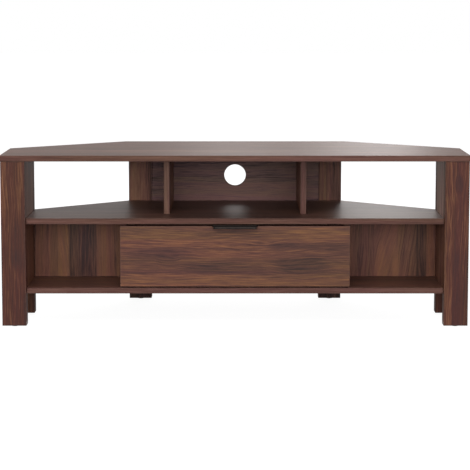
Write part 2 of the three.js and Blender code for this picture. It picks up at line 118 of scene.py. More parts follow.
def length(name, description, default):
    """A length that a user may change, in metres."""
    return FloatProperty(
        name=name, description=description, default=default, min=0.0, unit="LENGTH", subtype="DISTANCE"
    )


def share(name, description, default, highest=1.0):
    """A plain number from 0 to the highest."""
    return FloatProperty(name=name, description=description, default=default, min=0.0, max=highest)


def power(name, description, default):
    """The power of a lamp."""
    return FloatProperty(name=name, description=description, default=default, unit="POWER")


def colour(name, description, *default):
    """A colour that a user may change, given as a screen shows it."""
    return FloatVectorProperty(
        name=name, description=description, default=screen_colour(*default), size=4, min=0.0, max=1.0,
        subtype="COLOR",
    )


class BoardSettings(bpy.types.PropertyGroup):
    """How the boards' edges are softened."""

    rim: length("Edge radius", "Radius of the softened arrises of a board", 0.8 * MM)
    corner: length("Corner radius", "Radius of a board's corners seen square on", 1.2 * MM)
    fade: length("Wear width", "How far from an arris the wear can be seen", 4 * MM)
    steps: IntProperty(name="Arc steps", description="Faces across a softened edge", default=4, min=1)


class FoilSettings(bpy.types.PropertyGroup):
    """The printed walnut foil."""

    light: colour("Light wood", "Lightest, warm streaks", 140, 100, 74)
    middle: colour("Middle wood", "Ground colour of the print", 106, 70, 56)
    dark: colour("Dark wood", "Darkest, purple brown streaks", 62, 46, 44)
    gloss: share("Roughness", "Roughness of the satin surface", 0.42)
    plank: length("Strip width", "Width of the veneer strips in the print", 75 * MM)


class PullSettings(bpy.types.PropertyGroup):
    """The folded edge pull of the drawer."""

    gauge: length("Gauge", "Thickness of the sheet", 1.5 * MM)
    bend: length("Bend radius", "Radius of a fold at the middle of the sheet", 1.6 * MM)
    lip: length("Lip height", "Height of the turned-down lip", 7 * MM)
    slant: length("Slant", "Length cut off the lip's two corners", 5 * MM)
    deburr: length("Deburring", "Radius of the sheet's cut edges", 0.3 * MM)


class StageSettings(bpy.types.PropertyGroup):
    """Studio and camera."""

    distance: length("Camera distance", "From the front edge of the top", 3.856)
    height: length("Camera height", "Above the floor", 0.835)
    pitch: FloatProperty(
        name="Camera pitch", description="Downward tilt", default=math.radians(5.797), subtype="ANGLE"
    )
    lens: FloatProperty(
        name="Lens", description="Focal length for a 36 mm sensor", default=116.86, min=1.0, unit="CAMERA"
    )
    shift: FloatProperty(name="Camera shift", description="Vertical shift, in frame widths", default=-0.17)
    floor: share("Floor", "How much light the floor gives back", 0.2)
    glow: share("Floor glow", "What the floor adds where it is seen, to read as the background", 0.94)
    sky: share("Surroundings", "Strength of the soft light from all round", 0.4, 10.0)
    front_lamp: power("Front lamp", "Lights the fronts", 51.0)
    low_lamp: power("Low lamp", "Reaches the back panel", 24.0)
    top_lamp: power("Top lamp", "Gives the shadow under the pull", 19.0)
    rear_lamp: power("Rear lamp", "Lights the back for views from there", 60.0)
    card_left: share("Card, left", "Glow of the card behind, on the left", 0.94, 10.0)
    card_right: share("Card, right", "Glow of the card behind, on the right", 3.75, 10.0)
    card_strip: share("Card, strip", "Added glow where the hole shows it", 2.0, 10.0)
    card_foot: share("Card, foot", "Share of the glow that is left near the floor", 0.16)


# Outlines and skins


def corner_outline(corners, radius, margin, inset=0.0, steps=4, hold=0.5 * MM):
    """A closed outline of straight runs with an arc at every corner.

    Every edge moves inwards by the inset, so that a corner moves along its half-angle line. An
    outer corner's arc has the radius less the inset, an inner corner's the radius plus it, and
    it touches both edges at that radius times the tangent of half the turn. On either side one
    point holds the flat beside the arc, and one more stands the margin away. Gives the points
    and the wear of each: 1 on an arc, less beside it and 0 at the margin.
    """
    smallest_bend, hold_share, margin_share, apart = 0.1 * MM, 0.2, 0.45, 1.05
    corners = np.asarray(corners, float)
    before = corners - np.roll(corners, 1, axis=0)
    before /= np.linalg.norm(before, axis=1)[:, None]
    after = np.roll(before, -1, axis=0)
    left_before = np.stack([-before[:, 1], before[:, 0]], axis=1)
    left_after = np.stack([-after[:, 1], after[:, 0]], axis=1)
    along = (before * after).sum(axis=1)
    turn = np.arctan2((left_before * after).sum(axis=1), along)
    mitre = corners + inset * (left_before + left_after) / (1 + along)[:, None]
    run_before = np.linalg.norm(mitre - np.roll(mitre, 1, axis=0), axis=1)
    bend = np.maximum(np.broadcast_to(radius, turn.shape) - inset * np.sign(turn), smallest_bend)
    reach = bend * np.tan(np.abs(turn) / 2)
    start = mitre - before * reach[:, None]
    centre = start + left_before * (bend * np.sign(turn))[:, None]
    swing = turn[:, None] * np.linspace(0, 1, steps + 1)
    spoke = (start - centre)[:, None, :]
    arc_points = centre[:, None, :] + np.stack([
        np.cos(swing) * spoke[..., 0] - np.sin(swing) * spoke[..., 1],
        np.sin(swing) * spoke[..., 0] + np.cos(swing) * spoke[..., 1],
    ], axis=-1)
    beside = []
    for run, direction in ((run_before, -before), (np.roll(run_before, -1), after)):
        near = reach + np.minimum(hold, hold_share * run)
        far = np.maximum(np.minimum(margin, margin_share * run), near * apart)
        beside.append([mitre + direction * near[:, None], mitre + direction * far[:, None]])
    (near_b, far_b), (near_a, far_a) = beside
    points = np.concatenate([
        np.stack([far_b, near_b], axis=1), arc_points, np.stack([near_a, far_a], axis=1),
    ], axis=1)
    wear = np.ones(points.shape[:2])
    wear[:, [0, -1]] = 0
    wear[:, [1, -2]] = BESIDE
    return points.reshape(-1, 2), wear.ravel()


def skin_faces(rows, columns, closed=False, flip=False):
    """Quads between neighbouring rings of points, (ring, point) by (ring, next point)."""
    ring, point = np.meshgrid(np.arange(rows if closed else rows - 1), np.arange(columns), indexing="ij")
    here, there = ring * columns, (ring + 1) % rows * columns
    following = (point + 1) % columns
    quads = np.stack([here + point, here + following, there + following, there + point], axis=-1)
    quads = quads.reshape(-1, 4)
    return quads[:, ::-1] if flip else quads


def placed(name, data):
    """A new object in the scene."""
    made = bpy.data.objects.new(name, data)
    bpy.context.scene.collection.objects.link(made)
    return made


class Skin:
    """The faces of one piece, gathered part by part."""

    def __init__(self):
        self.points, self.wear, self.faces, self.places, self.finish = [], [], [], [], []
        self.count = 0

    def add(self, points, faces, places=None, wear=0.0, finish=0):
        """Adds points with their wear, and faces with the place of each corner in the print."""
        points = np.asarray(points, float).reshape(-1, 3)
        if places is None:
            places = np.zeros((faces.size, 2))
        self.points.append(points)
        self.wear.append(np.broadcast_to(wear, len(points)).astype(float))
        self.add_faces(faces + self.count, places, finish)
        self.count += len(points)
        return self.count - len(points)

    def add_faces(self, faces, places, finish=0):
        """Adds faces over points that are there already."""
        self.faces.extend(np.asarray(face).tolist() for face in faces)
        self.places.append(np.asarray(places).reshape(-1, 2))
        self.finish.append(np.broadcast_to(finish, len(faces)).astype(int))

    def piece(self, name, materials, body, nodes):
        """Makes the piece, which rides on its body and stands for its CAD nodes."""
        mesh = bpy.data.meshes.new(name)
        mesh.from_pydata(np.concatenate(self.points), [], self.faces)
        mesh.polygons.foreach_set("use_smooth", np.ones(len(self.faces), bool))
        mesh.polygons.foreach_set("material_index", np.concatenate(self.finish))
        mesh.uv_layers.new(name=PATTERN).data.foreach_set("uv", np.concatenate(self.places).ravel())
        worn_or_shaded = mesh.attributes.new(WEAR, "FLOAT", "POINT")
        worn_or_shaded.data.foreach_set("value", np.concatenate(self.wear).astype(np.float32))
        for material in materials:
            mesh.materials.append(material)
        mesh.update()
        if mesh.validate():
            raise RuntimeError(f"the mesh of {name} has faults")
        made = placed(name, mesh)
        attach(made, body)
        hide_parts(*nodes)


def flat_axes(across):
    """The two directions of a face that is seen along the across direction."""
    return [(across + 1) % 3, (across + 2) % 3]


def laid_out(points, height, across):
    """Flat points at a height, as points in space. The outline's two directions follow across."""
    place = np.empty((len(points), 3))
    place[:, flat_axes(across)] = points
    place[:, across] = height
    return place


def print_start(seed, wound=False):
    """Where a board's zero lies in the endless print, on its flat faces or on its wound sides."""
    return seed * BOARD_STEP + (WOUND_STEP if wound else 0.0)


def print_place(points, across, grain, seed):
    """Where points on a flat face lie in the print: along the grain, then across it."""
    axes = flat_axes(across) if grain == across else [grain, 3 - across - grain]
    return points[..., axes] + print_start(seed)


class Hole:
    """A hole in a board's face: its outline for a growth, its depth, and the face it starts in."""

    def __init__(self, outline, depth, face):
        self.outline, self.depth, self.face, self.mouths = outline, depth, face, []


def round_hole(middle, radius, depth, face, count):
    """A round hole: the middle plus the radius and growth times cosine and sine of the angle."""
    angle = np.linspace(0, 2 * math.pi, count, endpoint=False)
    spoke = np.stack([np.cos(angle), np.sin(angle)], axis=1)
    return Hole(lambda growth: np.asarray(middle) + (radius + growth) * spoke, depth, face)


def slot_hole(corners, depth, face):
    """A hole with straight sides and small arcs at its corners."""
    sizes = {"radius": 0.3 * MM, "margin": MM, "steps": 2}
    return Hole(lambda growth: corner_outline(corners, inset=-growth, **sizes)[0], depth, face)


def quarter_circle(radius, steps):
    """From a face round to the side: inset radius times 1 - sine, height times 1 - cosine."""
    turn = np.linspace(0, QUARTER, steps + 1)
    return [(radius * (1 - math.sin(t)), radius * (1 - math.cos(t))) for t in turn]


def soft_prism(skin, corners, low, high, across, grain, seed, rim, corner, margin, steps=4,
               band=1, raw=2, holes=(), ends=None, faded=True):
    """A prism over an outline with every arris rounded.

    A point depends on its place round the outline and on its place over the edge's section. The
    section goes from inside the lower face to its border, over a quarter circle, up the side,
    and back over the upper face. Flat faces take their print flat, the sides take it wound
    round the outline. Holes are rounded at their mouths in the same way.
    """
    thickness = high - low
    widest = float(np.max(margin))
    hold, flat_end, least_side, most_side = 0.6 * rim, 1.5 * rim, 1.8 * rim, 0.35 * thickness
    side = max(min(widest, most_side), least_side)
    half = [(rim + widest, 0.0, 0, 0)] if faded else []
    half += [(flat_end, 0.0, BESIDE, 0)]
    half += [(inset, height, 1, 1) for inset, height in quarter_circle(rim, steps)]
    half += [(0.0, flat_end, BESIDE, 1), (0.0, side, 0, 1)]
    section = half + [(inset, thickness - height, worn_or_shaded, out) for inset, height, worn_or_shaded, out in half[::-1]]
    rings, wear = [], []
    for inset, height, worn_or_shaded, out in section:
        flat, on_arc = corner_outline(corners, corner, margin, inset, steps, hold)
        reach = 0.0 if ends is None else ends(flat) * (1 if height > thickness / 2 else -1)
        rings.append(laid_out(flat, low + height + reach, across))
        wear.append(np.maximum(worn_or_shaded, out * on_arc))
    rings, wear = np.array(rings), np.array(wear)
    rows, columns = rings.shape[:2]
    quads = skin_faces(rows, columns)
    edge, _ = corner_outline(corners, corner, margin, 0.0, steps, hold)
    run = np.concatenate([[0], np.cumsum(np.linalg.norm(np.roll(edge, -1, axis=0) - edge, axis=1))])
    up = np.array([row[1] for row in section])
    ring, point = np.divmod(np.arange(len(quads)), columns)
    wound = np.stack([run[point[:, None] + [0, 1, 1, 0]], up[ring[:, None] + [0, 0, 1, 1]]], axis=-1)
    if grain == across:
        wound = wound[..., ::-1]
    wound = wound + print_start(seed, wound=True)
    flat = print_place(rings.reshape(-1, 3)[quads], across, grain, seed)
    face_rows = 2 if faded else 1
    on_face = (ring < face_rows) | (ring >= rows - 1 - face_rows)
    places = np.where(on_face[:, None, None], flat, wound)
    first = skin.add(rings, quads, places, wear.ravel(), np.where(on_face, 0, band))
    for face, row, level, upright in (("low", 0, low, -1), ("high", rows - 1, high, 1)):
        loops = [first + row * columns + np.arange(columns)]
        for hole in holes:
            if hole.face in (face, "through"):
                loops.append(hole_mouth(skin, hole, level, upright, across, raw))
        cap(skin, loops, upright, across, grain, seed)
    for hole in holes:
        if hole.face == "through":
            low_start, high_start = hole.mouths
            point = np.arange(len(hole.outline(0.0)))
            following = np.roll(point, -1)
            walls = np.stack([
                high_start + point, high_start + following, low_start + following, low_start + point,
            ], axis=1)
            skin.add_faces(walls, np.zeros((walls.size, 2)), raw)


def hole_mouth(skin, hole, level, upright, across, raw, soft=0.3 * MM, hold=0.8 * MM):
    """The mouth of a hole: flat rim, quarter circle, and for a blind hole its wall and floor."""
    section = [(soft + hold, 0.0), *quarter_circle(soft, steps=3), (0.0, soft + hold)]
    if hole.depth:
        section += [(0.0, hole.depth - hold), (0.0, hole.depth), (-hold, hole.depth)]
    rings = np.array([
        laid_out(hole.outline(growth), level - upright * down, across) for growth, down in section
    ])
    rows, count = rings.shape[:2]
    first = skin.add(rings, skin_faces(rows, count, flip=upright < 0), wear=0.3, finish=raw)
    last = first + (rows - 1) * count + np.arange(count)
    if hole.depth:
        skin.add_faces([last[::upright]], np.zeros((count, 2)), raw)
    else:
        hole.mouths.append(int(last[0]))
    return first + np.arange(count)


def cap(skin, loops, upright, across, grain, seed):
    """Closes a flat face between its outer loop and the loops of its holes."""
    points = np.concatenate(skin.points)
    if len(loops) == 1:
        faces = [loops[0][::upright]]
    else:
        flat = [[Vector((*at, 0.0)) for at in points[loop][:, flat_axes(across)]] for loop in loops]
        triangles = np.array(tessellate_polygon(flat))
        numbers = np.concatenate(loops)
        at = points[numbers][:, flat_axes(across)]
        one, two = at[triangles[:, 1]] - at[triangles[:, 0]], at[triangles[:, 2]] - at[triangles[:, 0]]
        wrong = (one[:, 0] * two[:, 1] - one[:, 1] * two[:, 0]) * upright < 0
        triangles[wrong] = triangles[wrong][:, ::-1]
        faces = numbers[triangles]
    skin.add_faces(faces, np.concatenate([print_place(points[face], across, grain, seed) for face in faces]))


def make_turned(node, ending, profile, middle, axis, steps, material, body="cabinet",
                closed=False, height=None):
    """A turned piece: radius and height along the axis, carried round it.

    A point is the middle, plus the radius times cosine and sine of the angle in the two
    directions square to the axis, plus the height along it. The profile runs so that the
    material lies on its left, seen with the radius to the right and the axis up. The height
    function, if there is one, changes the radius and the height at each angle.
    """
    axis = Vector(axis).normalized()
    side = axis.orthogonal().normalized()
    basis = np.array([side, axis.cross(side), axis])
    profile = np.asarray(profile, float)
    angle = np.linspace(0, 2 * math.pi, steps, endpoint=False)
    radius = np.broadcast_to(profile[:, 0, None], (len(profile), steps))
    level = profile[:, 1, None] + np.zeros(steps)
    if height is not None:
        radius, level = height(radius, level, angle[None, :], profile)
    local = np.stack([radius * np.cos(angle), radius * np.sin(angle), level], axis=-1)
    skin = Skin()
    skin.add(np.asarray(middle) + local @ basis, skin_faces(len(profile), steps, closed))
    if not closed:
        ends = np.array([np.arange(steps)[::-1], (len(profile) - 1) * steps + np.arange(steps)])
        skin.add_faces(ends, np.zeros((2 * steps, 2)))
    skin.piece(f"{node}_{ending}", [material], body, [node])


def arc(middle, radius, start, end, steps=5):
    """Points on an arc of a profile, angles in degrees."""
    angle = np.radians(np.linspace(start, end, steps + 1))
    return [(middle[0] + radius * math.cos(a), middle[1] + radius * math.sin(a)) for a in angle]


# Node trees


class Tree:
    """Writes a node tree. Most calls add nodes, fill their inputs and give an output."""

    def __init__(self, tree):
        self.tree = tree

    def fill(self, node, inputs):
        """Links outputs to a node's inputs, and sets plain values on their own sockets."""
        for key, value in inputs.items():
            if isinstance(value, bpy.types.NodeSocket):
                self.tree.links.new(value, node.inputs[key])
            else:
                node.inputs[key].default_value = value

    def node(self, kind, inputs=None, **settings):
        node = self.tree.nodes.new("ShaderNode" + kind)
        node.location = (180 * len(self.tree.nodes), 0)
        for name, value in settings.items():
            setattr(node, name, value)
        self.fill(node, inputs or {})
        return node

    def group(self, group, inputs):
        return self.node("Group", inputs, node_tree=group).outputs

    def maths(self, operation, *values, clamp=False):
        return self.node("Math", dict(enumerate(values)), operation=operation, use_clamp=clamp).outputs[0]

    def vector(self, operation, *values):
        return self.node("VectorMath", dict(enumerate(values)), operation=operation).outputs[0]

    def swing(self, value, amount, base):
        """The base plus the amount times how far a value lies above a half."""
        return self.maths("MULTIPLY_ADD", self.maths("SUBTRACT", value, 0.5), amount, base)

    def blend(self, one, amount, two):
        """An amount of one value and the rest of the other."""
        return self.maths("MULTIPLY_ADD", one, amount, self.maths("MULTIPLY", two, 1.0 - amount))

    def stretch(self, place, scales, shift=(0.0, 0.0, 0.0)):
        return self.node("Mapping", {"Vector": place, "Scale": scales, "Location": shift}).outputs[0]

    def noise(self, place, scale=1.0, detail=2.0, roughness=0.5, distortion=0.0):
        inputs = {"Vector": place, "Scale": scale, "Detail": detail, "Roughness": roughness,
                  "Distortion": distortion}
        return self.node("TexNoise", inputs).outputs[0]

    def streaks(self, place, scales, detail=2.0, roughness=0.5, distortion=0.0, shift=(0.0, 0.0, 0.0)):
        """Noise of a place stretched by its own scale in each direction."""
        return self.noise(self.stretch(place, scales, shift), 1.0, detail, roughness, distortion)

    def between(self, value, low, high, to_low=0.0, to_high=1.0, kind="LINEAR"):
        inputs = {"Value": value, "From Min": low, "From Max": high, "To Min": to_low, "To Max": to_high}
        return self.node("MapRange", inputs, interpolation_type=kind).outputs[0]

    def hump(self, value, low, rise, fall, high):
        """A value that climbs softly from 0 to 1 and falls softly back to 0."""
        up = self.between(value, low, rise, kind="SMOOTHSTEP")
        return self.maths("MULTIPLY", up, self.between(value, high, fall, kind="SMOOTHSTEP"))

    def mix(self, factor, one, two, blend="MIX"):
        inputs = {0: factor, 6: one, 7: two}
        return self.node("Mix", inputs, data_type="RGBA", blend_type=blend).outputs[2]

    def dimmed(self, tone, factor):
        """A colour times a plain factor."""
        grey = self.node("CombineColor", {0: factor, 1: factor, 2: factor}).outputs[0]
        return self.mix(1.0, tone, grey, "MULTIPLY")

    def ramp(self, value, stops):
        """A colour from stops of a place and a tone as a screen shows it."""
        node = self.node("ValToRGB", {0: value})
        while len(node.color_ramp.elements) < len(stops):
            node.color_ramp.elements.new(0.5)
        for element, (place, tone) in zip(node.color_ramp.elements, stops.items()):
            element.position, element.color = place, screen_colour(*tone)
        return node.outputs[0]

    def bump(self, height, distance):
        return self.node("Bump", {"Height": height, "Distance": distance, "Strength": 1.0}).outputs[0]

    def body(self):
        """Where a point lies on the cabinet."""
        return self.node("TexCoord").outputs["Object"]

    def printed(self):
        """Where a point lies in the foil's print."""
        return self.node("UVMap", uv_map=PATTERN).outputs[0]

    def arris(self):
        """How near a point lies to an arris."""
        return self.node("Attribute", attribute_name=WEAR).outputs["Fac"]

    def worn_or_shaded(self, tone, amount, bare_or_shade):
        """A tone with its arrises worn to a bare colour, or darkened by a painted shade, and the mask of
        either.
        """
        inputs = {"Vector": self.body(), "Wear": self.arris(), "Amount": amount}
        mask = self.group(edge_wear(), inputs)["Mask"]
        return self.mix(mask, tone, screen_colour(*bare_or_shade)), mask


def fresh_tree(owner):
    """The emptied node tree of a material or a world."""
    owner.use_nodes = True
    owner.node_tree.nodes.clear()
    return Tree(owner.node_tree)


def shader_group(title, inputs, outputs):
    """Makes a function that writes nodes into one that gives its node group, built once.

    The inputs are the group's sockets with their defaults: a number, a colour, or None for a
    vector. The outputs are socket names with their kinds.
    """
    kinds = {type(None): "Vector", tuple: "Color", float: "Float"}

    def keep(write):
        def built():
            group = bpy.data.node_groups.get(title)
            if group is None:
                group = bpy.data.node_groups.new(title, "ShaderNodeTree")
                for name, default in inputs.items():
                    kind = "NodeSocket" + kinds[type(default)]
                    socket = group.interface.new_socket(name=name, in_out="INPUT", socket_type=kind)
                    if default is not None:
                        socket.default_value = default
                for name, kind in outputs.items():
                    kind = "NodeSocket" + kind
                    group.interface.new_socket(name=name, in_out="OUTPUT", socket_type=kind)
                tree = Tree(group)
                given = group.nodes.new("NodeGroupInput").outputs
                tree.fill(group.nodes.new("NodeGroupOutput"), write(tree, given))
            return group
        return built
    return keep


@shader_group("wood_growth", {
    "Vector": None, "Centre": None, "Half Size": None, "Power": 2.0, "Soft": 0.8, "Lift": 0.0,
    "Slant": 0.0, "Spread": 0.0, "Shade": 0.0, "Lifted": 0.0, "Shaded": 0.0,
}, {"Lifted": "Float", "Shaded": "Float"})
def growth(tree, given):
    """One figure of the wood, such as a knot or a pale strip, or a patch of painted light or shade, added to
    those before it.

    With the place inside the figure as shares of its half length and half width, the mask falls
    from 1 to 0 where the sum of their powers passes 1. It shades the wood, lifts and slants the
    grain lines, and spreads them away from the figure's middle.
    """
    offset = tree.vector("SUBTRACT", given["Vector"], given["Centre"])
    inside = tree.vector("ABSOLUTE", tree.vector("DIVIDE", offset, given["Half Size"]))
    run, over, _ = tree.node("SeparateXYZ", {0: inside}).outputs
    powers = [tree.maths("POWER", part, given["Power"]) for part in (run, over)]
    outer, inner = tree.maths("ADD", 1.0, given["Soft"]), tree.maths("SUBTRACT", 1.0, given["Soft"])
    mask = tree.between(tree.maths("ADD", *powers), outer, inner, kind="SMOOTHSTEP")
    along, beside, _ = tree.node("SeparateXYZ", {0: offset}).outputs
    move = tree.maths("MULTIPLY_ADD", given["Slant"], along, given["Lift"])
    move = tree.maths("SUBTRACT", move, tree.maths("MULTIPLY", given["Spread"], beside))
    return {
        "Lifted": tree.maths("MULTIPLY_ADD", mask, move, given["Lifted"]),
        "Shaded": tree.maths("MULTIPLY_ADD", mask, given["Shade"], given["Shaded"]),
    }


@shader_group("walnut_figure", {
    "Vector": None, "Light": WHITE, "Middle": WHITE, "Dark": WHITE, "Lift": 0.0, "Shade": 0.0,
    "Strip Width": 0.075, "Strips": 0.6, "Wave": 0.045, "Ripple": 0.006, "Bands": 1.0, "Lines": 0.85,
    "Fine Lines": 1.2, "Rings": 0.03, "Ring Pitch": 700.0, "Roughness": 0.42,
}, {"Color": "Color", "Roughness": "Float", "Height": "Float"})
def walnut_figure(tree, given):
    """Walnut print: strips of veneer, each with its own place in the log.

    The distance across the grain is warped by a noise stretched along the grain and by the lift.
    Noises of the warped place, stretched far along the grain, give broad bands, lines and fibres,
    so all of them part and close together as the rings of a sawn log do. A sine of the warped
    place adds the even rings. Their sum is the tone, from dark over middle to light wood.
    """
    along, across, _ = tree.node("SeparateXYZ", {0: given["Vector"]}).outputs
    strip = tree.maths("FLOOR", tree.maths("DIVIDE", across, given["Strip Width"]))
    cell = tree.node("TexWhiteNoise", {"W": strip}, noise_dimensions="1D")
    chance = tree.node("SeparateColor", {0: cell.outputs["Color"]}).outputs
    run = tree.maths("MULTIPLY_ADD", chance[0], 5.0, along)
    depth = tree.maths("MULTIPLY", chance[1], given["Strips"])
    log = tree.node("CombineXYZ", {0: run, 1: across, 2: depth}).outputs[0]
    hills = tree.streaks(log, (2.0, 12.0, 3.0), detail=1.5, roughness=0.45)
    ripples = tree.streaks(log, (12.0, 45.0, 3.0))
    warped = tree.swing(ripples, given["Ripple"], tree.swing(hills, given["Wave"], across))
    warped = tree.maths("ADD", warped, given["Lift"])
    flow = tree.node("CombineXYZ", {0: run, 1: warped, 2: chance[1]}).outputs[0]
    bands = tree.streaks(flow, (1.2, 26.0, 3.0))
    lines = tree.streaks(flow, (6.0, 290.0, 2.0), roughness=0.6)
    fine = tree.streaks(flow, (17.0, 560.0, 2.0), roughness=0.6)
    fibres = tree.streaks(flow, (40.0, 1100.0, 2.0), roughness=0.6)
    pores = tree.streaks(flow, (110.0, 2400.0, 2.0), detail=1.0)
    warmth = tree.streaks(flow, (1.6, 34.0, 3.0), shift=(9.0, 2.0, 5.0))
    rings = tree.maths("SINE", tree.maths("MULTIPLY", warped, given["Ring Pitch"]))
    tone = tree.swing(bands, given["Bands"], 0.5)
    tone = tree.swing(lines, given["Lines"], tone)
    tone = tree.swing(fine, given["Fine Lines"], tone)
    tone = tree.maths("MULTIPLY_ADD", rings, given["Rings"], tone)
    tone = tree.swing(chance[2], tree.maths("MULTIPLY", given["Strips"], 0.5), tone)
    tone = tree.maths("ADD", tone, given["Shade"], clamp=True)
    ground = tree.mix(tree.between(tone, 0.0, 0.5), given["Dark"], given["Middle"])
    ground = tree.mix(tree.between(tone, 0.5, 1.0), ground, given["Light"])
    tint = tree.mix(tree.between(warmth, 0.35, 0.65), (1.0, 0.99, 0.88, 1.0), (1.07, 0.93, 1.0, 1.0))
    ground = tree.mix(1.0, ground, tint, "MULTIPLY")
    streak = tree.between(fibres, 0.25, 0.75, 0.88, 1.12)
    hole = tree.between(pores, 0.62, 0.7, 1.0, 0.72)
    return {
        "Color": tree.dimmed(ground, tree.maths("MULTIPLY", streak, hole)),
        "Roughness": tree.swing(fibres, -0.16, given["Roughness"]),
        "Height": tree.blend(fibres, 0.5, hole),
    }


@shader_group("edge_wear", {"Vector": None, "Wear": 0.0, "Amount": 0.5}, {"Mask": "Float"})
def edge_wear(tree, given):
    """Wear, or painted shade, along the arrises: the fading wear value, broken up by a fine and a slow noise.
    """
    patches = tree.between(tree.noise(given["Vector"], scale=90.0, detail=3.0, roughness=0.6), 0.3, 0.65)
    stretches = tree.between(tree.noise(given["Vector"], scale=14.0), 0.3, 0.6, to_low=0.5)
    core = tree.maths("POWER", given["Wear"], 2.0)
    broken = tree.maths("MULTIPLY", core, tree.maths("MULTIPLY", patches, stretches))
    return {"Mask": tree.maths("MULTIPLY", broken, given["Amount"], clamp=True)}


@shader_group("uneven_surface", {"Vector": None, "Scale": 30.0}, {"Value": "Float", "Fine": "Float"})
def cloudy(tree, given):
    """Slow, uneven variation of a surface: two sizes of noise, as a share and the finer one."""
    large = tree.noise(given["Vector"], given["Scale"], detail=3.0, roughness=0.55)
    finer = tree.maths("MULTIPLY", given["Scale"], 14.0)
    small = tree.noise(given["Vector"], finer, detail=3.0, roughness=0.6)
    return {"Value": tree.between(tree.blend(small, 0.45, large), 0.3, 0.7), "Fine": small}


def kept(write):
    """Makes a function that writes a material into one that gives it, made once for each name.

    It writes nodes and gives back the inputs of the Principled shader.
    """
    def given(name, *values, **named):
        if name not in FINISHES:
            FINISHES[name] = bpy.data.materials.new(name)
            tree = fresh_tree(FINISHES[name])
            shader = tree.node("BsdfPrincipled", write(tree, *values, **named))
            tree.node("OutputMaterial", {0: shader.outputs[0]})
        return FINISHES[name]
    return given


@kept
def walnut(tree, start=(0.0, 0.0), figures=(), joint=0.0, **values):
    """Walnut foil laid in the print's own places, with its arrises a little paler.

    Each figure is the distance along and across the grain from the board's zero, the half length
    and half width, the shade, and any further values, all lengths in millimetres; some figures are
    painted light or shade. The share by which the colour falls beside the arris is painted shade.
    """
    foil = bpy.context.scene.cabinet_foil
    place = tree.printed()
    grown = {"Lifted": 0.0, "Shaded": 0.0}
    for along, across, half_length, half_width, shade, further in figures:
        grown = tree.group(growth(), {
            "Vector": place, "Centre": (start[0] + along * MM, start[1] + across * MM, 0.0),
            "Half Size": (half_length * MM, half_width * MM, 1.0), "Shade": shade,
            "Lifted": grown["Lifted"], "Shaded": grown["Shaded"], **further,
        })
    figure = tree.group(walnut_figure(), {
        "Vector": place, "Lift": grown["Lifted"], "Shade": grown["Shaded"], "Light": foil.light,
        "Middle": foil.middle, "Dark": foil.dark, "Strip Width": foil.plank, "Roughness": foil.gloss,
        **values,
    })
    # Beside the arris the colour falls by the given share: painted shade.
    wood = tree.dimmed(figure["Color"], tree.between(tree.arris(), 0.1, 0.7, 1.0, 1.0 - joint))
    wood, mask = tree.worn_or_shaded(wood, amount=0.35, bare_or_shade=(128, 98, 86))
    return {
        "Base Color": wood, "Roughness": tree.maths("MULTIPLY_ADD", mask, 0.12, figure["Roughness"]),
        "IOR": 1.5, "Specular IOR Level": 0.2, "Normal": tree.bump(figure["Height"], 0.03 * MM),
    }


@kept
def plain_foil(tree):
    """Melamine foil of the drawer box: a quiet straight grain in three tones."""
    place = tree.printed()
    grain = tree.streaks(place, (5.0, 700.0, 1.0), detail=3.0, roughness=0.6)
    tone = tree.blend(grain, 0.6, tree.streaks(place, (1.0, 60.0, 1.0)))
    wood = tree.ramp(tone, {0.3: (62, 44, 37), 0.5: (88, 64, 53), 0.7: (112, 86, 72)})
    wood, _ = tree.worn_or_shaded(wood, amount=0.4, bare_or_shade=(150, 118, 98))
    return {
        "Base Color": wood, "Roughness": tree.between(grain, 0.3, 0.7, 0.37, 0.5), "IOR": 1.48,
        "Normal": tree.bump(grain, 0.03 * MM),
    }


@kept
def surface(tree, dark, light, rough, spread, scale, bump, painted_fold_shade=None, **sockets):
    """A painted, moulded or plated surface that varies a little over its area.

    A painted shade for the folds and cut edges may be given, which darkens them.
    """
    uneven = tree.group(cloudy(), {"Vector": tree.body(), "Scale": scale})
    tone = tree.mix(uneven["Value"], screen_colour(*dark), screen_colour(*light))
    if painted_fold_shade:
        tone, _ = tree.worn_or_shaded(tone, amount=5.0, bare_or_shade=painted_fold_shade)
    gloss = tree.between(uneven["Value"], 0.0, 1.0, rough - spread / 2, rough + spread / 2)
    return {"Base Color": tone, "Roughness": gloss, "Normal": tree.bump(uneven["Fine"], bump * MM), **sockets}


@kept
def chipboard(tree):
    """Raw particle board inside a hole: flattened chips in browns, matt."""
    place = tree.stretch(tree.body(), (420.0, 420.0, 900.0))
    chips = tree.node("TexVoronoi", {"Vector": place, "Scale": 1.0}).outputs["Color"]
    chance = tree.node("SeparateColor", {0: chips}).outputs[0]
    return {
        "Base Color": tree.ramp(chance, {0.0: (58, 42, 34), 0.5: (92, 70, 54), 1.0: (128, 102, 80)}),
        "Roughness": tree.between(chance, 0.0, 1.0, 0.75, 0.95), "Normal": tree.bump(chance, 0.2 * MM),
    }


@kept
def hardboard(tree):
    """Pressed fibre board: short crossing fibres, printed a dull brown."""
    body = tree.body()
    curled = {"detail": 3.0, "roughness": 0.6, "distortion": 1.5}
    along = tree.streaks(body, (120.0, 900.0, 300.0), **curled)
    over = tree.streaks(body, (800.0, 140.0, 300.0), **curled)
    fibre = tree.maths("MAXIMUM", along, over)
    tone = tree.blend(fibre, 0.6, tree.noise(body, scale=9.0, detail=3.0, roughness=0.55))
    return {
        "Base Color": tree.ramp(tone, {0.35: (84, 64, 52), 0.52: (110, 87, 71), 0.7: (133, 108, 89)}),
        "Roughness": tree.between(fibre, 0.4, 0.7, 0.62, 0.8), "Normal": tree.bump(fibre, 0.08 * MM),
    }


# Pieces


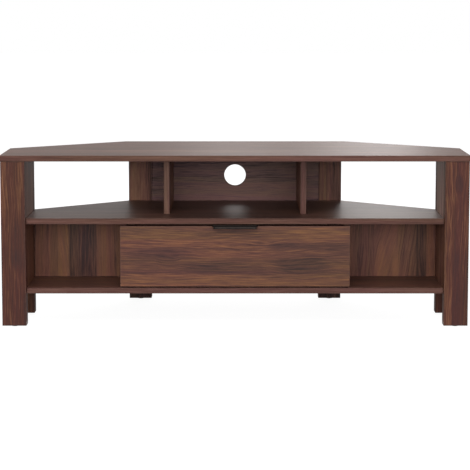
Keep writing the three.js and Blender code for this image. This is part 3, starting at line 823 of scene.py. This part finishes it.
def box_corners(low, high, across):
    """The four corners of a box seen along the across direction, anticlockwise."""
    a, b = flat_axes(across)
    return [(low[a], low[b]), (high[a], low[b]), (high[a], high[b]), (low[a], high[b])]


def node_points(node):
    """The points of a CAD node's mesh."""
    mesh = frame["nodes"][node].data
    points = np.zeros(len(mesh.vertices) * 3)
    mesh.vertices.foreach_get("co", points)
    return points.reshape(-1, 3)


def plan_corners(node):
    """The six corners of a board with slanted rear corners, read from its CAD node."""
    x, y, _ = node_points(node).T
    near = 0.01 * MM
    half_width, front, back = x.max(), y.min(), y.max()
    side_end, half_back = y[x > half_width - near].max(), x[y > back - near].max()
    return [
        (-half_width, front), (half_width, front), (half_width, side_end),
        (half_back, back), (-half_back, back), (-half_width, side_end),
    ]


def upright_round(node):
    """The middle of the lower face, the radius and the height of a round node that stands."""
    low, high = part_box(node)
    middle = (low + high) / 2
    return (middle.x, middle.y, low.z), (high.x - low.x) / 2, high.z - low.z


def make_board(node, across, grain, seed, materials, slot, body="cabinet", corners=None, holes=(), **sizes):
    """A board in the place of a CAD node, as a prism over the node's box or over given corners."""
    settings = bpy.context.scene.cabinet_boards
    low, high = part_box(node)
    values = {"rim": settings.rim, "corner": settings.corner, "margin": settings.fade, **sizes}
    skin = Skin()
    soft_prism(skin, corners or box_corners(low, high, across), low[across], high[across], across, grain,
               seed, steps=settings.steps, holes=holes, **values)
    skin.piece(f"{node}_dressed", materials, body, [node])


def foiled(node, seed, kind=None):
    """The board's own foil if it has one, the band's straighter print for the edges, and the core."""
    if node in FIGURES_AND_PAINTED_LIGHT:
        face = walnut(f"walnut_{node}", print_start(seed), FIGURES_AND_PAINTED_LIGHT[node], **PRINTS[kind or node])
    else:
        face = walnut("walnut_foil")
    return [face, walnut("walnut_edge_band", **PRINTS["edge_band"]), chipboard("raw_core")]


BAND = {"Wave": 0.01, "Strip Width": 0.4}
TOP_SEED, MIDDLE_SEED, BOTTOM_SEED, UPRIGHTS_SEED, PANELS_SEED, DRAWER_SEED = 1, 2, 3, 4, 10, 30
PRINTS = {  # where a print differs from the plain foil; some tones are painted light or shade, as marked
    # The edge bands' colour falls beside their arrises: painted shade.
    "edge_band": {
        **tones(light=(122, 93, 82), middle=(98, 69, 61), dark=(68, 47, 41)), **BAND, "joint": 0.22,
    },
    # Darker tones than the other edge bands, and a fall beside the arrises: painted shade on the top's front
    # edge, which gets more light.
    "top_band": {
        **tones(light=(114, 83, 73), middle=(88, 60, 53), dark=(68, 45, 40)), **BAND, "joint": 0.25,
    },
    "top": {
        **tones(light=(116, 86, 69), middle=(93, 63, 51), dark=(60, 43, 39)), "Lines": 1.1, "Fine Lines": 1.7,
    },
    # Darker, greyer tones than the plain foil: painted shade under the top, the grey partly a painted
    # reflection of the back panel.
    "middle_shelf": tones(light=(100, 75, 64), middle=(80, 57, 49), dark=(50, 38, 35)),
    "bottom_shelf": tones(middle=(88, 60, 50)),
    "front_leg": tones(middle=(85, 52, 45)),
    "rear_leg": tones(middle=(84, 53, 45)),
    # Paler tones: painted light for the posts in the dim bay under the top.
    "back_post": {**tones(light=(152, 115, 92), middle=(118, 87, 76)), "Fine Lines": 1.8},
    # The pale light tone of the right side panel's figure: painted light on its inner face.
    "side_panel": {**tones(light=(166, 132, 118)), "Strips": 0.0},
    # A lighter middle tone: painted light against the shade in the niches.
    "niche_back": {**tones(middle=(120, 84, 71)), "Strips": 0.0},
    # Paler tones than the plain foil: painted light for the dim bay behind the shelf.
    "back_panel": {
        **tones(light=(140, 110, 101), middle=(122, 98, 96), dark=(66, 54, 56)),
        "Strips": 0.0, "Lines": 1.2, "Fine Lines": 2.0,
    },
    "drawer_front": {
        **tones(light=(143, 102, 72), middle=(98, 69, 60), dark=(60, 46, 46)),
        "Strips": 0.0, "Bands": 0.45, "Wave": 0.05, "Ripple": 0.003, "Lines": 0.5, "Fine Lines": 1.5,
    },
}
SOFT = {"Soft": 0.9}
STRIP = {"Power": 8.0, "Soft": 0.15}
BROAD = {"Power": 4.0, "Soft": 0.7}
FOOT_SHADE = (60, 31, 130, 60, -0.09, BROAD)
FIGURES_AND_PAINTED_LIGHT = {  # the figures of boards with a print of their own, in millimetres; some are painted light or shade, as marked
    "top": (),
    # A darker front strip between the dividers: painted shade under the top.
    "middle_shelf": ((0, -190, 178, 110, -0.35, {"Power": 4.0, "Soft": 0.5}),),
    "bottom_shelf": (),
    "drawer_front": (
        (-197, 223, 110, 22, 0.14, SOFT), (-52, 184, 75, 14, 0.12, SOFT), (213, 236, 90, 20, 0.12, SOFT),
        (0, 112, 330, 24, 0.12, {"Power": 6.0, "Soft": 0.3}),
        (-180, 190, 95, 15, -0.17, {"Soft": 0.9, "Lift": -0.004}),
        (-172, 177, 28, 22, -0.12, {"Soft": 0.9, "Spread": 0.3, "Lift": 0.004}),
        (-57, 152, 85, 14, -0.2, {"Soft": 0.8, "Lift": 0.004}),
        (128, 210, 36, 13, -0.22, {"Soft": 0.9, "Spread": 0.4}),
        (222, 206, 85, 9, -0.2, SOFT),
        (168, 158, 66, 25, -0.25, {"Soft": 0.9, "Spread": 0.35, "Lift": 0.003}),
        # The first figure here is a dark line of the print; the second, just under the pull, is a painted
        # shadow of the pull.
        (-60, 137, 240, 4, -0.15, SOFT), (0, 248, 66, 8, -0.24, SOFT),
    ),
    "niche_back_left": (
        (180, -517, 200, 20, -0.27, STRIP), (180, -459, 200, 14.5, 0.28, {"Slant": 0.1, **STRIP}),
        (180, -407.5, 200, 37.5, -0.3, STRIP), (180, -332, 200, 37, 0.14, STRIP),
    ),
    "niche_back_right": (
        (180, 334, 200, 38, -0.18, STRIP), (180, 401, 200, 29, -0.07, {"Slant": -0.25, **STRIP}),
        (180, 457, 200, 27, -0.1, {"Slant": -0.15, **STRIP}), (180, 498, 200, 13.5, -0.28, STRIP),
        (180, 523, 200, 12.5, 0.2, STRIP), (130, 390, 55, 14, 0.3, SOFT), (125, 431, 50, 10, 0.28, SOFT),
    ),
    "front_leg_left": (
        (206, 47, 60, 24, -0.2, {"Soft": 0.9, "Spread": 0.4}), (330, 11, 130, 9, 0.15, SOFT),
        (370, 54, 80, 9, 0.12, SOFT), FOOT_SHADE,
    ),
    "front_leg_right": (
        (213, 12, 260, 11, 0.16, {"Power": 6.0, "Soft": 0.4}),
        (366, 38, 22, 11, -0.2, {"Soft": 0.8, "Spread": 0.6}), (213, 45, 260, 20, -0.1, SOFT), FOOT_SHADE,
    ),
    # On the posts, the lighter figures up high are painted light in the dim bay, and the dark strip at the
    # foot is painted shade under the bottom shelf.
    "back_post_left": (
        (300, 30, 140, 24, 0.4, SOFT), (380, 34, 60, 30, -0.12, SOFT), (30, 35, 60, 33, -0.4, STRIP),
    ),
    "back_post_right": (
        (350, 50, 200, 14, -0.2, SOFT), (320, 12, 120, 10, 0.1, SOFT), (30, 35, 60, 33, -0.4, STRIP),
    ),
    # A pale patch on the right side panel's upper part: painted light.
    "side_panel_right": ((370, 0, 100, 250, 0.42, BROAD),),
    # The lower back panel is lighter in its middle. On the upper one, the lighter lower middle is a painted
    # reflection of the shelf, the lighter right part painted light, and the darker band along its top painted
    # shade under the top.
    "lower_back_panel": ((0, 180, 300, 90, 0.1, SOFT),),
    "upper_back_panel": (
        (0, 290, 150, 50, 0.3, SOFT), (170, 320, 50, 80, 0.15, SOFT), (0, 400, 400, 50, -0.1, SOFT),
    ),
}


class CABINET_OT_top(bpy.types.Operator):
    """Makes the top board with its slanted rear corners"""

    bl_idname = "cabinet.make_top"
    bl_label = "Top board"

    def execute(self, context):
        face, _, core = foiled("top", TOP_SEED)
        foils = [face, walnut("walnut_top_band", **PRINTS["top_band"]), core]
        make_board("top_panel", Z, X, TOP_SEED, foils, "walnut_foil", corners=plan_corners("top_panel"))
        return {"FINISHED"}


class CABINET_OT_shelves(bpy.types.Operator):
    """Makes the middle and the bottom shelf, with pockets for the cam locks"""

    bl_idname = "cabinet.make_shelves"
    bl_label = "Shelves"

    def execute(self, context):
        pockets = []
        for node in sorted(frame["nodes"]):
            if node.startswith("cam_lock"):
                middle, radius, tall = upright_round(node)
                pockets.append(round_hole(middle[:2], radius + GAP, tall + GAP, "low", count=36))
        shelves = ((MIDDLE_SEED, "middle_shelf", ()), (BOTTOM_SEED, "bottom_shelf", pockets))
        for seed, node, holes in shelves:
            make_board(node, Z, X, seed, foiled(node, seed), "walnut_foil", corners=plan_corners(node),
                       holes=holes)
        return {"FINISHED"}


class CABINET_OT_uprights(bpy.types.Operator):
    """Makes the four legs and the two rear posts, each wrapped in foil with upright grain"""

    bl_idname = "cabinet.make_uprights"
    bl_label = "Legs and posts"

    def execute(self, context):
        seed = UPRIGHTS_SEED
        for kind in ("front_leg", "rear_leg", "back_post"):
            for side, _ in SIDES:
                node = f"{kind}_{side}"
                start, figures = print_start(seed, wound=True), FIGURES_AND_PAINTED_LIGHT.get(node, ())
                # The legs and posts are darker beside their arrises: painted shade.
                foil = walnut(f"walnut_{node}", start, figures, joint=0.2, Strips=0.0, Bands=0.75, Lines=0.7,
                              **PRINTS[kind])
                make_board(node, Z, Z, seed, [foil] * 3, "walnut_foil")
                seed += 1
        return {"FINISHED"}


class CABINET_OT_panels(bpy.types.Operator):
    """Makes the side panels, dividers, partitions, niche backs and back panels"""

    bl_idname = "cabinet.make_panels"
    bl_label = "Panels"

    def execute(self, context):
        seed = PANELS_SEED
        for kind, across in (("side_panel", X), ("divider", X), ("drawer_partition", X), ("niche_back", Y)):
            for side, _ in SIDES:
                node = f"{kind}_{side}"
                make_board(node, across, Z, seed, foiled(node, seed, kind), "walnut_foil")
                seed += 1
        for node, holes in (("lower_back_panel", ()), ("upper_back_panel", [self.cable_hole()])):
            make_board(node, Y, X, seed, foiled(node, seed, "back_panel"), "walnut_foil", holes=holes)
            seed += 1
        return {"FINISHED"}

    def cable_hole(self):
        """The cable hole's middle and radius, from the points inside the CAD panel's border."""
        flat = node_points("upper_back_panel")[:, [Z, X]]
        inside = ((flat > flat.min(axis=0) + MM) & (flat < flat.max(axis=0) - MM)).all(axis=1)
        low, high = flat[inside].min(axis=0), flat[inside].max(axis=0)
        radius = (high - low).max() / 2
        return round_hole((low + high) / 2, radius, depth=None, face="through", count=72)


class CABINET_OT_drawer(bpy.types.Operator):
    """Makes the drawer's front, sides, back and bottom"""

    bl_idname = "cabinet.make_drawer"
    bl_label = "Drawer"

    def execute(self, context):
        low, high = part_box("drawer_bottom")
        groove = box_corners(low - Vector((GAP, 0, GAP)), high + Vector((GAP, 0, GAP)), Y)
        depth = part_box("drawer_front")[1].y - low.y + GAP
        seed = DRAWER_SEED
        make_board("drawer_front", Y, X, seed, foiled("drawer_front", seed), "walnut_foil", "drawer",
                   holes=[slot_hole(groove, depth, "high")])
        foil = plain_foil("drawer_foil")
        for side, sign in SIDES:
            seed += 1
            self.make_side(side, sign, seed, foil, low.z - GAP, high.z + GAP, high.x + GAP)
        make_board("drawer_back", Y, X, seed + 1, [foil] * 3, "drawer_board", "drawer")
        make_board("drawer_bottom", Z, X, seed + 2, [hardboard("hardboard")] * 3, "hardboard", "drawer",
                   rim=0.3 * MM, corner=0.5 * MM, margin=0.8 * MM)
        return {"FINISHED"}

    def make_side(self, side, sign, seed, foil, groove_low, groove_high, groove_reach):
        """A drawer side as a section carried from front to back, with the groove cut in it."""
        node = f"drawer_side_{side}"
        low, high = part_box(node)
        inner, outer = sorted((abs(low.x), abs(high.x)))
        section = [
            (low.z, inner), (groove_low, inner), (groove_low, groove_reach), (groove_high, groove_reach),
            (groove_high, inner), (high.z, inner), (high.z, outer), (low.z, outer),
        ]
        corners = [(z, sign * x) for z, x in section][::sign]
        make_board(node, Y, Y, seed, [foil] * 3, "drawer_board", "drawer", corners=corners,
                   rim=0.4 * MM, corner=0.5 * MM, margin=1.2 * MM)


class CABINET_OT_pull(bpy.types.Operator):
    """Makes the folded black pull that hooks over the drawer front"""

    bl_idname = "cabinet.make_pull"
    bl_label = "Pull"

    def execute(self, context):
        pull = context.scene.cabinet_pull
        low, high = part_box("drawer_pull")
        gauge, front, rear, top = pull.gauge, low.y, high.y, high.z
        lip = top - pull.lip
        corners = [
            (rear, low.z), (rear, top), (front, top), (front, lip), (front + gauge, lip),
            (front + gauge, top - gauge), (rear - gauge, top - gauge), (rear - gauge, low.z),
        ]
        outer, inner, cut = pull.bend + gauge / 2, pull.bend - gauge / 2, pull.deburr
        radii = np.array([cut, outer, outer, cut, cut, inner, inner, cut])
        # How far from each fold or cut edge the wear value, and with it the painted shade, fades out.
        margins = np.array([2, 5, 5, 3.1, 2, 3.5, 2, 2]) * MM
        # The grey of the flats is partly the coat's own colour and partly a painted highlight; the folds and
        # cut edges take a painted shade.
        metal = surface("black_powder_coat", (58, 50, 47), (76, 66, 62), rough=0.42, spread=0.14, scale=260.0,
                        bump=0.04, painted_fold_shade=(10, 7, 6), **{"Specular IOR Level": 0.15})
        skin = Skin()
        soft_prism(skin, corners, low.x, high.x, X, X, seed=0, rim=cut, corner=radii, margin=margins,
                   steps=5, band=0, raw=0, faded=False,
                   ends=lambda flat: -np.clip(front + pull.slant - flat[:, 0], 0, pull.slant))
        skin.piece("drawer_pull_folded", [metal], "drawer", ["drawer_pull"])
        return {"FINISHED"}


class CABINET_OT_runners(bpy.types.Operator):
    """Finishes the folded runner profiles and makes the nylon rollers"""

    bl_idname = "cabinet.make_runners"
    bl_label = "Runners"

    def execute(self, context):
        enamel = surface("white_enamel", (196, 196, 192), (224, 224, 220), rough=0.4, spread=0.12,
                         scale=40.0, bump=0.04)
        nylon = surface("nylon", (214, 210, 198), (236, 233, 224), rough=0.45, spread=0.1,
                        scale=90.0, bump=0.03)
        for side, sign in SIDES:
            for kind, direction in (("cabinet", -sign), ("drawer", sign)):
                profile = frame["nodes"][f"{kind}_runner_{side}"]
                profile.data.materials.clear()
                profile.data.materials.append(enamel)
                self.make_roller(f"{kind}_roller_{side}", direction, nylon)
        return {"FINISHED"}

    def make_roller(self, node, direction, nylon):
        """A roller turned about its bore: fillets at the tread, a groove, and the axle's recess."""
        low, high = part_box(node)
        radius, half = (high.z - low.z) / 2, (high.x - low.x) / 2
        bore, recess, fillet, dip, cut, lip = np.array([2.5, 5.2, 0.8, 0.9, 0.2, 0.3]) * MM
        sunk = half - 1.4 * MM
        groove, shoulder = (recess + radius) / 2, radius - 1.2 * fillet
        profile = [
            (bore, -half), (groove - MM, -half), *arc((groove, -half), dip, 180, 0, steps=8),
            (shoulder, -half),
            *arc((radius - fillet, fillet - half), fillet, -90, 0),
            *arc((radius - fillet, half - fillet), fillet, 0, 90), (shoulder, half), (recess + 2 * lip, half),
            *arc((recess + lip, half - lip), lip, 90, 180, steps=3), (recess, sunk + cut),
            (recess - cut, sunk), (bore + cut, sunk), (bore, sunk - cut), (bore, cut - half),
        ]
        body = node if node in frame["bodies"] else "drawer"
        make_turned(node, "turned", profile, (low + high) / 2, (direction, 0, 0), steps=64, material=nylon,
                    body=body, closed=True)


def cross(radius, angle, width, reach, side, end):
    """A cross as a share: a smooth step across each arm, times one where the arm ends.

    Its width, its reach, and the softness of its sides and ends are in millimetres.
    """
    def step(value, edge, soft):
        return np.clip((edge - np.abs(value)) / soft + 0.5, 0, 1)

    across, along = radius * np.cos(angle), radius * np.sin(angle)
    return np.maximum(step(across, width * MM, side * MM) * step(along, reach * MM, end * MM),
                      step(along, width * MM, side * MM) * step(across, reach * MM, end * MM))


def slotted(radius, level, angle, profile, depth=2.5 * MM):
    """Sinks a cross slot into the flat end of a cam lock."""
    on_end = (profile[:, 1] > -0.01 * MM)[:, None]
    return radius, level - on_end * cross(radius, angle, width=0.8, reach=4.5, side=0.3, end=0.4) * depth


def threaded(radius, level, angle, profile, pitch=1.1 * MM, height=0.4 * MM, depth=0.62 * MM):
    """Winds a thread round a screw's shank, and sinks a cross into its head.

    On the shank the radius gains a ridge wherever height over pitch less angle over a turn is
    near a whole number.
    """
    on_head = (profile[:, 1] > 0.3 * MM)[:, None]
    level = level - on_head * cross(radius, angle, width=0.42, reach=1.7, side=0.2, end=0.5) * depth
    phase = level / pitch - angle / (2 * math.pi)
    ridge = np.clip(1 - 4 * np.abs(phase - np.round(phase)), 0, 1)
    on_shank = (profile[:, 1] < -0.6 * MM)[:, None] * np.clip((level + 10 * MM) / (2 * MM), 0, 1)
    return radius + on_shank * ridge * height, level


class CABINET_OT_fittings(bpy.types.Operator):
    """Makes the screws, the cam locks and the glides"""

    bl_idname = "cabinet.make_fittings"
    bl_label = "Fittings"

    def execute(self, context):
        zinc = surface("zinc", (132, 134, 138), (176, 178, 180), rough=0.34, spread=0.16, scale=220.0,
                       bump=0.02, Metallic=0.9)
        plastic = surface("black_plastic", (26, 25, 24), (44, 42, 40), rough=0.5, spread=0.16, scale=300.0,
                          bump=0.05)
        for side, sign in SIDES:
            self.make_screw(f"pull_screw_{side}", (0, 1, 0), "drawer", zinc)
            for place in ("front", "rear"):
                self.make_screw(f"cabinet_runner_screw_{side}_{place}", (-sign, 0, 0), "cabinet", zinc)
                self.make_screw(f"drawer_runner_screw_{side}_{place}", (sign, 0, 0), "drawer", zinc)
            for place in ("front", "rear", "post"):
                self.make_cam(f"cam_lock_{place}_{side}", zinc)
                self.make_glide(f"glide_{place}_{side}", plastic)
        return {"FINISHED"}

    def make_screw(self, node, direction, body, zinc):
        """A pan-head screw: the threaded shank from its tip up, the head's rim and its dome."""
        low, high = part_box(node)
        axis = np.array(direction, float)
        size = float(np.abs(np.array(high - low) @ axis))
        head, rim, shank, neck, tall = np.array([3.4, 0.35, 1.2, 1.6, 1.0]) * MM
        seat = np.array((low + high) / 2) + axis * (size / 2 - tall)
        profile = [(TIP, tall - size)]
        profile += [
            (shank * min(1.0, 0.1 + (1 - t) * 4), (tall - size) * t) for t in np.linspace(0, 1, 46)[:0:-1]
        ]
        profile += [(shank, -0.05 * MM), (neck, 0.0), (head - 0.2 * MM, 0.0), (head, 0.1 * MM), (head, rim)]
        dome = np.linspace(0, QUARTER, 15)[1:-1]
        profile += [(head * math.cos(t), rim + (tall - rim) * math.sin(t)) for t in dome]
        profile += [(TIP, tall)]
        make_turned(node, "cut", profile, seat, direction, steps=32, material=zinc, body=body,
                    height=threaded)

    def make_cam(self, node, zinc):
        """A cam lock seen from below: a flat disc with a cross slot and a rounded rim."""
        middle, radius, tall = upright_round(node)
        soft = 0.4 * MM
        profile = [
            (TIP, -tall), (radius - soft, -tall), (radius, soft - tall),
            *arc((radius - soft, -soft), soft, 0, 90, steps=4),
            *((reach, 0.0) for reach in np.linspace(radius - 1.5 * soft, TIP, 26)),
        ]
        make_turned(node, "cast", profile, middle, (0, 0, -1), steps=96, material=zinc,
                    height=slotted)

    def make_glide(self, node, plastic):
        """A glide under a foot: a disc with a rounded lower rim and a sunk nail head."""
        middle, radius, tall = upright_round(node)
        soft = 0.7 * MM
        nail = np.array([(0.1, 0.7), (2.4, 0.7), (2.7, 0.4), (3.2, 0.05), (3.6, 0.0)]) * MM
        profile = [
            *nail, (radius - 1.4 * soft, 0.0), *arc((radius - soft, soft), soft, -90, 0),
            (radius, tall - 0.3 * MM), (radius - 0.2 * MM, tall), (radius - 0.8 * MM, tall), (0.1 * MM, tall),
        ]
        make_turned(node, "moulded", profile, middle, (0, 0, 1), steps=48, material=plastic)


# Studio


LAMPS = {  # the place, the target, and the width and height of each lamp
    "front_lamp": ((-0.2, -3.6, 1.25), (-0.2, 0, 1.25), (5.0, 1.3)),
    "low_lamp": ((0.2, -4.4, 0.95), (0.1, 0, 0.3), (3.0, 0.4)),
    "top_lamp": ((-0.4, -1.8, 2.2), (0, 0, 0.3), (1.6, 1.0)),
    "rear_lamp": ((0.4, 3.4, 1.5), (0.4, 0, 1.2), (4.0, 2.4)),
}
# Where the card's lights start, are full, start to fade and end, along the width and the height
SPOT_X = (0.14, 0.61, 0.65, 0.84)
STRIP_X, STRIP_Z = (-0.3, -0.08, 0.08, 0.3), (0.75, 1.05, 1.3, 1.7)
GLOW_Z = (0.1, 0.55, 1.0, 1.6)


def seen(tree):
    """1 where the camera, a mirror or a glass looks at the surface, else 0."""
    path = tree.node("LightPath").outputs
    either = tree.maths("ADD", path["Is Camera Ray"], path["Is Glossy Ray"])
    return tree.maths("ADD", either, path["Is Transmission Ray"], clamp=True)


@kept
def floor_coat(tree, stage):
    """A matt grey, slightly uneven, that reads as the white background where it is seen."""
    uneven = tree.group(cloudy(), {"Vector": tree.body(), "Scale": 3.0})["Value"]
    greys = [(*[part * stage.floor] * 3, 1.0) for part in (0.97, 1.0)]
    return {
        "Base Color": tree.mix(uneven, *greys), "Roughness": 0.9, "Specular IOR Level": 0.0,
        "Emission Color": WHITE, "Emission Strength": tree.maths("MULTIPLY", seen(tree), stage.glow),
    }


class CABINET_OT_stage(bpy.types.Operator):
    """Lays the pale floor and sets the surroundings, the card, the lamps and the camera"""

    bl_idname = "cabinet.set_stage"
    bl_label = "Studio"

    def execute(self, context):
        stage = context.scene.cabinet_stage
        half = 20.0
        ground = laid_out(box_corners((-half, -half), (half, half), Z), 0.0, Z)
        floor = self.stand("studio_floor", ground, [(0, 1, 2, 3)], floor_coat("studio_floor", stage))
        self.set_surroundings(context.scene, stage)
        self.stand_card(stage)
        for name, values in LAMPS.items():
            self.hang_lamp(name, *values, getattr(stage, name))
        self.set_camera(context.scene, stage)
        return {"FINISHED"}

    def stand(self, name, points, faces, material):
        """Puts a surface of the studio in its place."""
        mesh = bpy.data.meshes.new(name)
        mesh.from_pydata(points, [], faces)
        mesh.materials.append(material)
        return placed(name, mesh)

    def set_surroundings(self, scene, stage):
        """A white background, and soft even light from all round."""
        scene.world = bpy.data.worlds.new("studio")
        tree = fresh_tree(scene.world)
        light = tree.node("Background", {0: WHITE, 1: stage.sky}).outputs[0]
        shown = tree.node("Background", {0: WHITE, 1: 1.0}).outputs[0]
        tree.node("OutputWorld", {0: tree.node("MixShader", {0: seen(tree), 1: light, 2: shown}).outputs[0]})

    def stand_card(self, stage):
        """A card behind the object that only its gloss shows.

        A profile of height over depth, level on the floor, round the corner and upright, is
        carried along the width. It glows dimly on the left, brightly in a spot right of the
        middle and in a strip where the cable hole shows it, and least near the floor.
        """
        front, back, lift, top, half, bend = -0.15, 2.0, 0.004, 2.6, 4.0, 0.5
        turn = np.linspace(0, QUARTER, 13)
        depth = np.concatenate([[front], back - bend + bend * np.sin(turn), [back]])
        height = np.concatenate([[lift], lift + bend - bend * np.cos(turn), [top]])
        width = np.array([-half, half])
        points = np.stack(np.broadcast_arrays(width, depth[:, None], height[:, None]), axis=-1)
        row = np.arange(len(depth) - 1)[:, None] * 2
        made = bpy.data.materials.new("grey_card")
        tree = fresh_tree(made)
        x, _, z = tree.node("SeparateXYZ", {0: tree.body()}).outputs
        spot = tree.maths("MULTIPLY", tree.hump(x, *SPOT_X), tree.between(z, 0.45, 0.75, to_low=0.25))
        across = tree.between(spot, 0.0, 1.0, stage.card_left, stage.card_right)
        foot = tree.between(x, -0.6, 0.0, to_low=1.7 * stage.card_foot, to_high=stage.card_foot)
        up = tree.between(tree.hump(z, *GLOW_Z), 0.0, 1.0, to_low=foot)
        strip = tree.maths("MULTIPLY", tree.hump(x, *STRIP_X), tree.hump(z, *STRIP_Z))
        glow = tree.maths("MULTIPLY_ADD", strip, stage.card_strip, tree.maths("MULTIPLY", across, up))
        light = tree.node("Emission", {"Color": (1.0, 0.97, 0.95, 1.0), "Strength": glow}).outputs[0]
        tree.node("OutputMaterial", {0: light})
        card = self.stand("grey_card", points.reshape(-1, 3), (row + np.array([[0, 1, 3, 2]])).tolist(), made)
        card.visible_camera = card.visible_diffuse = card.visible_shadow = False

    def hang_lamp(self, name, place, target, size, power):
        """A soft rectangular lamp that faces the target."""
        lamp = bpy.data.lights.new(name, "AREA")
        lamp.shape, lamp.size, lamp.size_y, lamp.energy = "RECTANGLE", *size, power
        made = placed(name, lamp)
        made.location = place
        made.rotation_euler = (Vector(target) - Vector(place)).to_track_quat("-Z", "Y").to_euler()
        made.visible_camera = made.visible_glossy = False

    def set_camera(self, scene, stage):
        """A camera in front of the middle, tilted down, with its frame shifted."""
        camera = bpy.data.cameras.new("camera")
        camera.sensor_width, camera.lens, camera.shift_y = 36.0, stage.lens, stage.shift
        scene.camera = placed("camera", camera)
        scene.camera.location = (0, cad_box[0].y - stage.distance, stage.height)
        scene.camera.rotation_euler = (QUARTER - stage.pitch, 0, 0)
        scene.view_settings.view_transform = "Standard"


OPERATORS = (
    CABINET_OT_top, CABINET_OT_shelves, CABINET_OT_uprights, CABINET_OT_panels, CABINET_OT_drawer,
    CABINET_OT_pull, CABINET_OT_runners, CABINET_OT_fittings, CABINET_OT_stage,
)
SETTINGS = {
    "cabinet_boards": BoardSettings, "cabinet_foil": FoilSettings, "cabinet_pull": PullSettings,
    "cabinet_stage": StageSettings,
}


class CABINET_PT_sidebar(bpy.types.Panel):
    """Lists the steps of the cabinet with their sizes and colours"""

    bl_idname = "CABINET_PT_sidebar"
    bl_label = "Corner cabinet"
    bl_space_type = "VIEW_3D"
    bl_region_type = "UI"
    bl_category = "Cabinet"

    def draw(self, context):
        for operator in OPERATORS:
            self.layout.operator(operator.bl_idname)
        for name in SETTINGS:
            box = self.layout.box()
            settings = getattr(context.scene, name)
            for prop in settings.bl_rna.properties:
                if not prop.is_readonly:
                    box.prop(settings, prop.identifier)


def register():
    for kind in (*SETTINGS.values(), *OPERATORS, CABINET_PT_sidebar):
        bpy.utils.register_class(kind)
    for name, kind in SETTINGS.items():
        setattr(bpy.types.Scene, name, PointerProperty(type=kind))


def unregister():
    for name in SETTINGS:
        delattr(bpy.types.Scene, name)
    for kind in reversed((*SETTINGS.values(), *OPERATORS, CABINET_PT_sidebar)):
        bpy.utils.unregister_class(kind)


def main():
    register()
    bpy.ops.cabinet.make_top()
    bpy.ops.cabinet.make_shelves()
    bpy.ops.cabinet.make_uprights()
    bpy.ops.cabinet.make_panels()
    bpy.ops.cabinet.make_drawer()
    bpy.ops.cabinet.make_pull()
    bpy.ops.cabinet.make_runners()
    bpy.ops.cabinet.make_fittings()
    bpy.ops.cabinet.set_stage()


if __name__ == "__main__":
    main()
